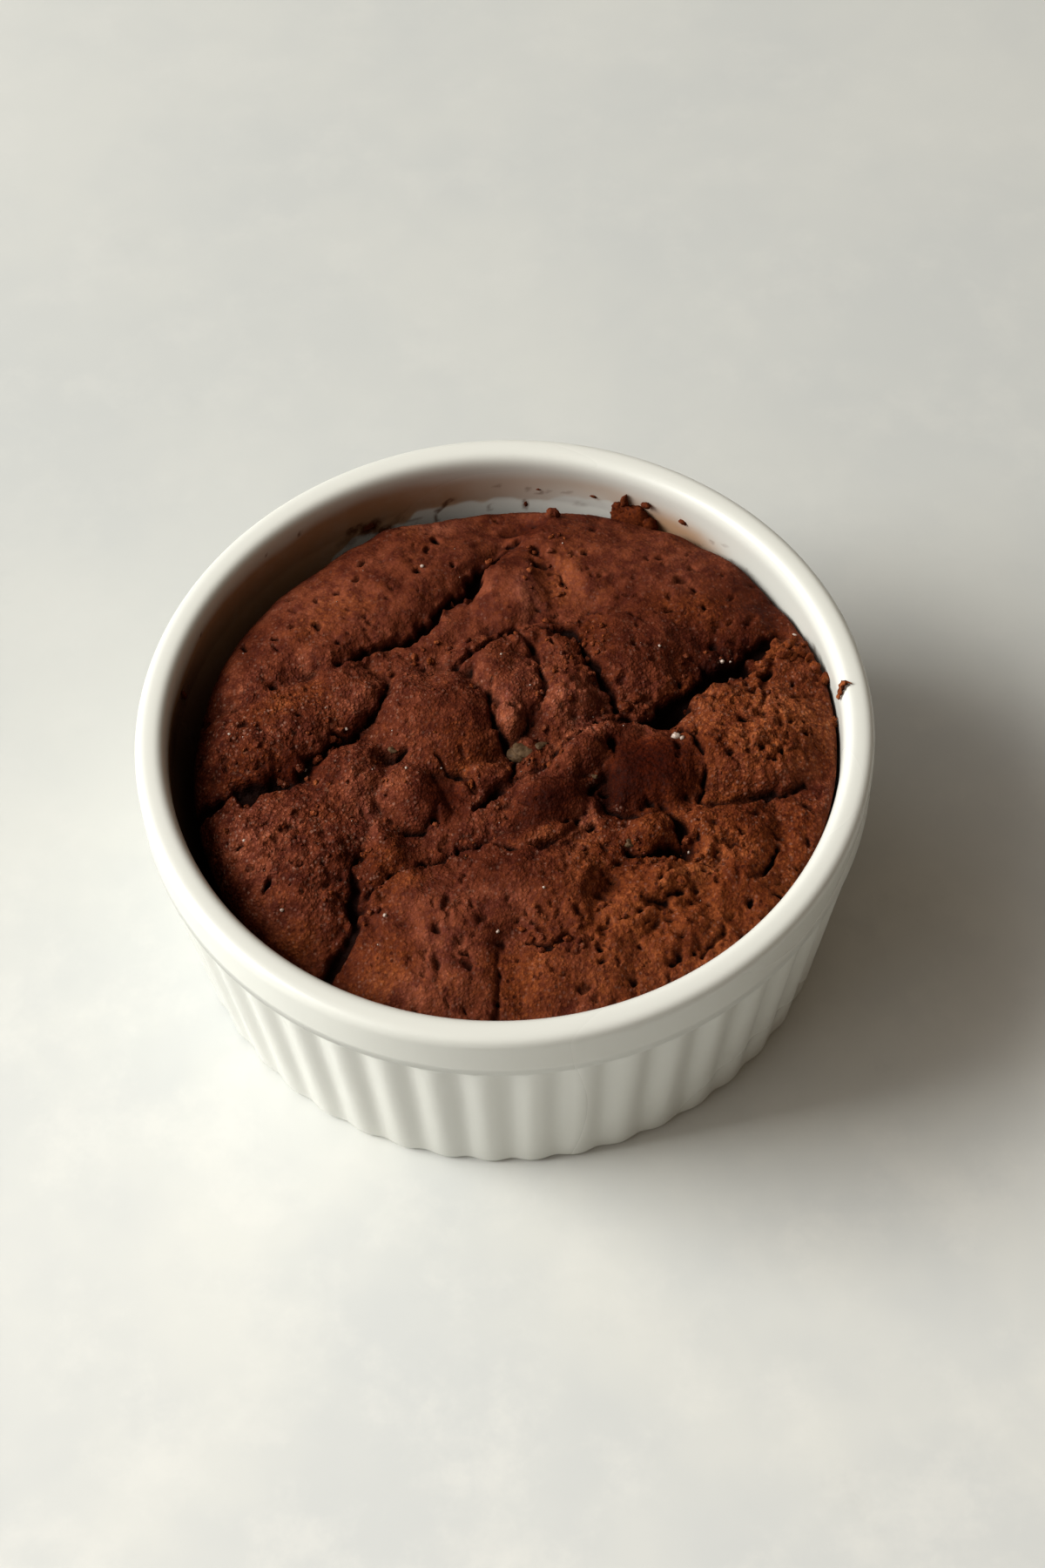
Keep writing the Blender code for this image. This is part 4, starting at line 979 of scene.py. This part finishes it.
def build_rim_flake():
    """A thin curl of crust lying over the rim on the right."""
    curl = smooth_path(RIM_FLAKE, 0.2)
    points, faces = [], []
    for k, (x, y, z, half) in enumerate(curl):
        across = 0.7 * half * (1 + 0.25 * math.sin(2.3 * k))
        points += [(x + across, y - across, z), (x, y, z + 0.12)]
        points += [(x - across, y + across, z), (x, y, z - 0.1)]
    for k in range(len(curl) - 1):
        faces += ring_faces(np.arange(4 * k, 4 * k + 4), np.arange(4 * k + 4, 4 * k + 8))
    faces += [(3, 2, 1, 0), tuple(len(points) - 4 + corner for corner in range(4))]
    piece = mesh_object("rim_flake", points, faces)
    paint(piece, "crust", np.tile((0.0, 1.0, 0.0, 1.0), (len(points), 1)))
    return piece


# ---------------------------------------------------------------- materials

# Colours that noise mixes, darker and lighter
PLUM = ((0.067, 0.0134, 0.0068), (0.132, 0.0318, 0.0142))
RUST = ((0.092, 0.0188, 0.0051), (0.200, 0.0505, 0.0138))
WET = ((0.021, 0.0024, 0.0006), (0.074, 0.0095, 0.0014))
WHITE_GLAZE = ((0.64, 0.645, 0.595), (0.665, 0.67, 0.625))
# the film's colour, partly baked-on batter and partly painted shade
BROWN_FILM_AND_SHADE = ((0.235, 0.128, 0.078), (0.200, 0.105, 0.062))
BANANA_FLESH = ((0.048, 0.026, 0.012), (0.105, 0.062, 0.032))
SUGAR_WHITE = ((0.26, 0.18, 0.14), (0.52, 0.43, 0.37))
FLOOR_GREY = ((0.575, 0.59, 0.58), (0.66, 0.665, 0.63))
# Single colours
# painted highlights: glints and sparkles
PAINTED_GLINT = (0.26, 0.118, 0.070)
PAINTED_SPARKLE = (0.30, 0.165, 0.120)
# painted shade in pores
PORE_SHADE = (0.022, 0.0035, 0.0016)
# painted shade in hollows and fissures
HOLLOW_SHADE_COLOUR = (0.006, 0.0015, 0.0008)
# the thin film, partly baked-on batter and partly painted shade
THIN_FILM_AND_SHADE = (0.42, 0.25, 0.14)
PAINTED_WALL_SHADE = (0.030, 0.016, 0.010)
MARK_BROWN = (0.11, 0.042, 0.018)
FLOOR_CLOUD = (0.70, 0.70, 0.665)
FLOOR_SMUDGE = (0.52, 0.53, 0.515)
FLOOR_FAR_SHADE = (0.42, 0.435, 0.42)
# How strongly each channel follows the light, so that dark crumb is redder
CHANNEL_POWERS = {"Red": 0.95, "Green": 1.26, "Blue": 1.5}


class Nodes:
    """Short calls for building a material's node tree."""

    def __init__(self, name):
        self.material = bpy.data.materials.new(name)
        self.material.use_nodes = True
        self.tree = self.material.node_tree
        self.shader = self.tree.nodes["Principled BSDF"]
        self.object_place = self.add("ShaderNodeTexCoord").outputs["Object"]

    def add(self, kind, **settings):
        node = self.tree.nodes.new(kind)
        for name, value in settings.items():
            setattr(node, name, value)
        return node

    def put(self, socket, value):
        """Links a socket, or sets a number or a colour."""
        if isinstance(value, bpy.types.NodeSocket):
            self.tree.links.new(value, socket)
        else:
            socket.default_value = (*value, 1.0) if isinstance(value, tuple) else value

    def math(self, operation, a, b, clamp=False):
        node = self.add("ShaderNodeMath", operation=operation, use_clamp=clamp)
        self.put(node.inputs[0], a)
        self.put(node.inputs[1], b)
        return node.outputs[0]

    def times(self, first, *others):
        for other in others:
            first = self.math("MULTIPLY", first, other)
        return first

    def mix(self, share, a, b, blend="MIX"):
        node = self.add("ShaderNodeMix", data_type="RGBA", blend_type=blend)
        for name, value in (("Factor", share), ("A", a), ("B", b)):
            self.put(node.inputs[name], value)
        return node.outputs["Result"]

    def parts(self, colour):
        """The red, green and blue of a colour."""
        node = self.add("ShaderNodeSeparateColor")
        self.put(node.inputs["Color"], colour)
        return [node.outputs[index] for index in range(3)]

    def places(self):
        """Where a point is, as x, y and z in metres."""
        node = self.add("ShaderNodeSeparateXYZ")
        self.put(node.inputs["Vector"], self.object_place)
        return [node.outputs[index] for index in range(3)]

    def noise(self, size, detail=3.0, rough=0.55):
        """Noise whose bumps are about size millimetres across."""
        node = self.add("ShaderNodeTexNoise")
        for name, value in (("Vector", self.object_place), ("Scale", 1.0 / (size * MM)), ("Detail", detail),
                            ("Roughness", rough)):
            self.put(node.inputs[name], value)
        return node.outputs["Fac"]

    def cells(self, size, output="Distance"):
        """Scattered points about size millimetres apart: how far the nearest is, or its own random colour."""
        node = self.add("ShaderNodeTexVoronoi", feature="F1")
        self.put(node.inputs["Vector"], self.object_place)
        self.put(node.inputs["Scale"], 1.0 / (size * MM))
        return node.outputs[output]

    def ramp(self, value, low, high, low_out=0.0, high_out=1.0):
        """A smooth step of the value from low to high."""
        node = self.add("ShaderNodeMapRange", interpolation_type="SMOOTHSTEP")
        names = ("Value", "From Min", "From Max", "To Min", "To Max")
        for name, number in zip(names, (value, low, high, low_out, high_out)):
            self.put(node.inputs[name], number)
        return node.outputs["Result"]

    def blend(self, value, low, high, colours):
        """From the first colour to the second as the value goes from low to high."""
        return self.mix(self.ramp(value, low, high), *colours)

    def bump(self, height, strength, distance, normal=None):
        node = self.add("ShaderNodeBump")
        for name, value in (("Strength", strength), ("Distance", distance * MM), ("Height", height)):
            self.put(node.inputs[name], value)
        if normal is not None:
            self.put(node.inputs["Normal"], normal)
        return node.outputs["Normal"]

    def painted(self, name):
        """The four shares painted on the mesh."""
        node = self.add("ShaderNodeAttribute", attribute_name=name)
        return (*self.parts(node.outputs["Color"]), node.outputs["Alpha"])

    def finish(self, colour, roughness, normal=None, **numbers):
        self.put(self.shader.inputs["Base Color"], colour)
        self.put(self.shader.inputs["Roughness"], roughness)
        if normal is not None:
            self.put(self.shader.inputs["Normal"], normal)
        for name, number in numbers.items():
            self.shader.inputs[name.replace("_", " ")].default_value = number
        return self.material


def crumb_contrast(n, moist):
    """How much of the fine crumb shows: less at the back, at the front and where it is moist, more at the left."""
    x, y, _ = n.places()
    at_back = n.ramp(y, 2 * MM, 26 * MM, 1.0, 0.35)
    at_front = n.ramp(y, -30 * MM, -16 * MM, 0.6, 1.0)
    dry = n.math("SUBTRACT", 1.0, n.times(moist, 0.5))
    return n.times(at_back, at_front, dry, n.ramp(x, -34 * MM, -10 * MM, 1.3, 1.0))


def crumb_light(n, crumb, sand, amount, tone_and_shade):
    """What the colour is multiplied by: grains of two sizes, lit on their tops and darker in the gaps as painted
    light and shade, a mottle, and the painted tone with its painted light and shade.
    """
    mottle = n.ramp(n.noise(1.7, 3.0, 0.6), 0.3, 0.7, 0.78, 1.23)
    light = n.times(n.ramp(crumb, 0.12, 0.62, 1.22, 0.75), n.ramp(sand, 0.15, 0.6, 1.14, 0.84), mottle)
    light = n.math("ADD", 1.0, n.times(n.math("SUBTRACT", light, 1.0), amount))
    light = n.times(light, n.times(tone_and_shade, 2.1))
    deepened = n.add("ShaderNodeCombineColor")
    for channel, power in CHANNEL_POWERS.items():
        n.put(deepened.inputs[channel], n.math("POWER", light, power))
    return deepened.outputs[0]


def add_glints(n, colour, moist, amount):
    """Painted highlights: dry glints, and pale sparkles in single cells."""
    dry = n.math("SUBTRACT", 1.0, moist)
    glint = n.times(n.ramp(n.noise(1.1, 3.0, 0.65), 0.60, 0.74), dry, n.times(amount, 0.30))
    colour = n.mix(glint, colour, PAINTED_GLINT)
    chosen = n.ramp(n.parts(n.cells(0.5, "Color"))[0], 0.76, 0.92)
    sparkle = n.times(chosen, n.ramp(n.cells(0.5), 0.6, 0.25), n.ramp(n.noise(3.2, 2.0), 0.36, 0.62, 0.25, 1.0))
    sparkle = n.times(sparkle, n.times(amount, n.ramp(moist, 0.0, 0.6, 0.34, 0.0)))
    return n.mix(sparkle, colour, PAINTED_SPARKLE)


def add_pore_shade(n, colour, orange):
    """Painted shade of dark pores in about half of the cells, most in the orange crumb."""
    chosen = n.ramp(n.parts(n.cells(0.95, "Color"))[0], 0.42, 0.52)
    share = n.times(n.math("ADD", 0.35, n.times(orange, 0.65)), n.ramp(n.noise(4.5, 2.0), 0.38, 0.58))
    pore_shade = n.times(n.ramp(n.cells(0.95), 0.22, 0.36, 1.0, 0.0), chosen, n.times(share, 0.85))
    return n.mix(pore_shade, colour, PORE_SHADE)


def crust_material():
    n = Nodes("baked_crust")
    hollow_shade, orange, moist, tone_and_shade = n.painted("crust")
    fine = n.noise(0.7, 4.0, 0.7)
    crumb, sand = n.cells(0.62), n.cells(0.36)
    amount = crumb_contrast(n, moist)
    orange = n.math("ADD", orange, n.times(n.math("SUBTRACT", fine, 0.5), 1.6), clamp=True)
    colour = n.mix(orange, n.blend(n.noise(2.6), 0.35, 0.65, PLUM), n.blend(fine, 0.3, 0.7, RUST))
    colour = n.mix(n.times(moist, 0.92), colour, n.blend(fine, 0.35, 0.7, WET))
    colour = n.mix(1.0, colour, crumb_light(n, crumb, sand, amount, tone_and_shade), blend="MULTIPLY")
    colour = add_glints(n, colour, moist, amount)
    colour = add_pore_shade(n, colour, orange)
    # painted shade: hollows and fissures darkened
    colour = n.mix(n.ramp(hollow_shade, 0.05, 0.75), colour, HOLLOW_SHADE_COLOUR)
    grain = n.math("ADD", n.ramp(crumb, 0.0, 0.7, 1.0, 0.0), n.times(n.ramp(sand, 0.0, 0.7, 1.0, 0.0), 0.6))
    normal = n.bump(n.times(grain, amount), 0.9, 0.16)
    normal = n.bump(n.times(fine, amount), 0.6, 0.2, normal)
    return n.finish(colour, n.ramp(fine, 0.3, 0.7, 0.6, 0.88), normal, Specular_IOR_Level=0.035)


def glaze_material():
    n = Nodes("white_glaze")
    film_and_shade, marks, wall_shade, _ = n.painted("stain_and_shade")
    blotch = n.noise(3.0)
    white = n.blend(n.noise(40.0, 0.0), 0.0, 1.0, WHITE_GLAZE)
    # the film, partly baked-on batter and partly painted shade
    colour = n.mix(n.times(n.ramp(film_and_shade, 0.0, 0.6), n.ramp(blotch, 0.2, 0.6, 0.9, 1.0)), white, THIN_FILM_AND_SHADE)
    colour = n.mix(n.ramp(film_and_shade, 0.6, 1.0), colour, n.blend(blotch, 0.3, 0.7, BROWN_FILM_AND_SHADE))
    # painted shade of the left inner wall
    colour = n.mix(n.times(wall_shade, 0.9), colour, PAINTED_WALL_SHADE)
    colour = n.mix(n.times(marks, n.ramp(n.noise(0.7, 2.0), 0.3, 0.55, 0.5, 1.0)), colour, MARK_BROWN)
    rough = n.ramp(n.noise(50.0, 0.0), 0.0, 1.0, 0.23, 0.30)
    return n.finish(colour, rough, Specular_IOR_Level=0.5, Coat_Weight=0.15, Coat_Roughness=0.15)


def banana_material():
    n = Nodes("baked_banana")
    blotch = n.noise(0.9, 3.0, 0.6)
    colour = n.blend(blotch, 0.35, 0.68, BANANA_FLESH)
    rough = n.ramp(blotch, 0.3, 0.7, 0.55, 0.7)
    return n.finish(colour, rough, n.bump(blotch, 0.7, 0.2), Specular_IOR_Level=0.1)


def sugar_material():
    n = Nodes("sugar")
    cloud = n.noise(0.3, 2.0)
    colour = n.blend(cloud, 0.3, 0.7, SUGAR_WHITE)
    return n.finish(colour, n.ramp(cloud, 0.3, 0.7, 0.25, 0.5), Specular_IOR_Level=0.5)


def floor_material():
    n = Nodes("pale_floor")
    colour = n.blend(n.noise(70.0, 4.0, 0.6), 0.35, 0.65, FLOOR_GREY)
    colour = n.mix(n.ramp(n.noise(16.0, 5.0, 0.65), 0.45, 0.75, 0.0, 0.6), colour, FLOOR_CLOUD)
    colour = n.mix(n.ramp(n.noise(38.0, 6.0, 0.7), 0.58, 0.8, 0.0, 0.5), colour, FLOOR_SMUDGE)
    # painted shade: the floor darker towards the back
    colour = n.mix(n.ramp(n.places()[1], -0.06, 0.05, 0.0, 0.55), colour, FLOOR_FAR_SHADE)
    return n.finish(colour, 0.6, n.bump(n.noise(2.0, 4.0), 0.1, 0.1))


# ---------------------------------------------------------------- stage, light and camera

CAMERA_PLACE = (0.0, -0.24685, 0.39305)
CAMERA_DOWN = 0.97805
CAMERA_YAW = 0.010455
CAMERA_ROLL = -0.044338
CAMERA_LENS = 70.0
FLOOR_HALF = 1500
WORLD_COLOUR = (1.0, 0.80, 0.60, 1.0)
WORLD_STRENGTH = 0.145
# Lights in metres: name, place, width and depth, watts, colour. All of them aim at the same point.
LIGHT_TARGET = (0.0, 0.0, 0.03)
LIGHTS = (
    ("window", (-1.38, 0.05, 1.05), (1.0, 1.05), 43.0, (1.0, 1.0, 0.965)),
    ("pale_wall", (-1.30, 0.16, 1.0), (3.3, 1.6), 20.5, (1.0, 1.0, 1.0)),
    ("ceiling", (-0.4, 0.2, 1.5), (2.2, 2.2), 2.6, (1.0, 0.86, 0.72)),
)


def add_camera():
    forward = Vector((math.sin(CAMERA_YAW) * math.cos(CAMERA_DOWN),
                      math.cos(CAMERA_YAW) * math.cos(CAMERA_DOWN), -math.sin(CAMERA_DOWN)))
    right = Vector((math.cos(CAMERA_YAW), -math.sin(CAMERA_YAW), 0.0))
    up = right.cross(forward)
    c, s = math.cos(CAMERA_ROLL), math.sin(CAMERA_ROLL)
    columns = (c * right + s * up, c * up - s * right, -forward)
    data = bpy.data.cameras.new("camera")
    data.lens = CAMERA_LENS
    data.sensor_width = 36.0
    data.clip_start = 0.01
    camera = bpy.data.objects.new("camera", data)
    turn = Matrix(columns).transposed().to_4x4()
    camera.matrix_world = Matrix.Translation(CAMERA_PLACE) @ turn
    bpy.context.collection.objects.link(camera)
    bpy.context.scene.camera = camera


def add_light(name, place, size, power, colour):
    data = bpy.data.lights.new(name, "AREA")
    data.shape = "RECTANGLE"
    data.size, data.size_y = size
    data.energy = power
    data.color = colour
    light = bpy.data.objects.new(name, data)
    light.location = place
    aim = Vector(LIGHT_TARGET) - Vector(place)
    light.rotation_euler = aim.to_track_quat("-Z", "Y").to_euler()
    bpy.context.collection.objects.link(light)


def add_stage():
    corners = [(x * FLOOR_HALF, y * FLOOR_HALF, 0) for x, y in ((-1, -1), (1, -1), (1, 1), (-1, 1))]
    floor = mesh_object("floor", corners, [(0, 1, 2, 3)], smooth=False)
    floor.data.materials.append(floor_material())
    for light in LIGHTS:
        add_light(*light)
    world = bpy.data.worlds.new("surroundings")
    world.use_nodes = True
    background = world.node_tree.nodes["Background"]
    background.inputs["Color"].default_value = WORLD_COLOUR
    background.inputs["Strength"].default_value = WORLD_STRENGTH
    bpy.context.scene.world = world
    bpy.context.scene.view_settings.view_transform = "Standard"


add_camera()
add_stage()

dish = build_dish()
dish.data.materials.append(glaze_material())
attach(dish, "root")
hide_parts("ramekin")

crust, maps = build_cake()
crust.data.materials.append(crust_material())
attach(crust, "root")
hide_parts("banana_bread")

for piece in (build_wall_bits(), build_crumbs(maps), build_rim_flake()):
    piece.data.materials.append(crust.data.materials[0])
    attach(piece, "root")
for piece, material in ((build_sugar(maps), sugar_material()), (build_banana(maps), banana_material())):
    piece.data.materials.append(material)
    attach(piece, "root")
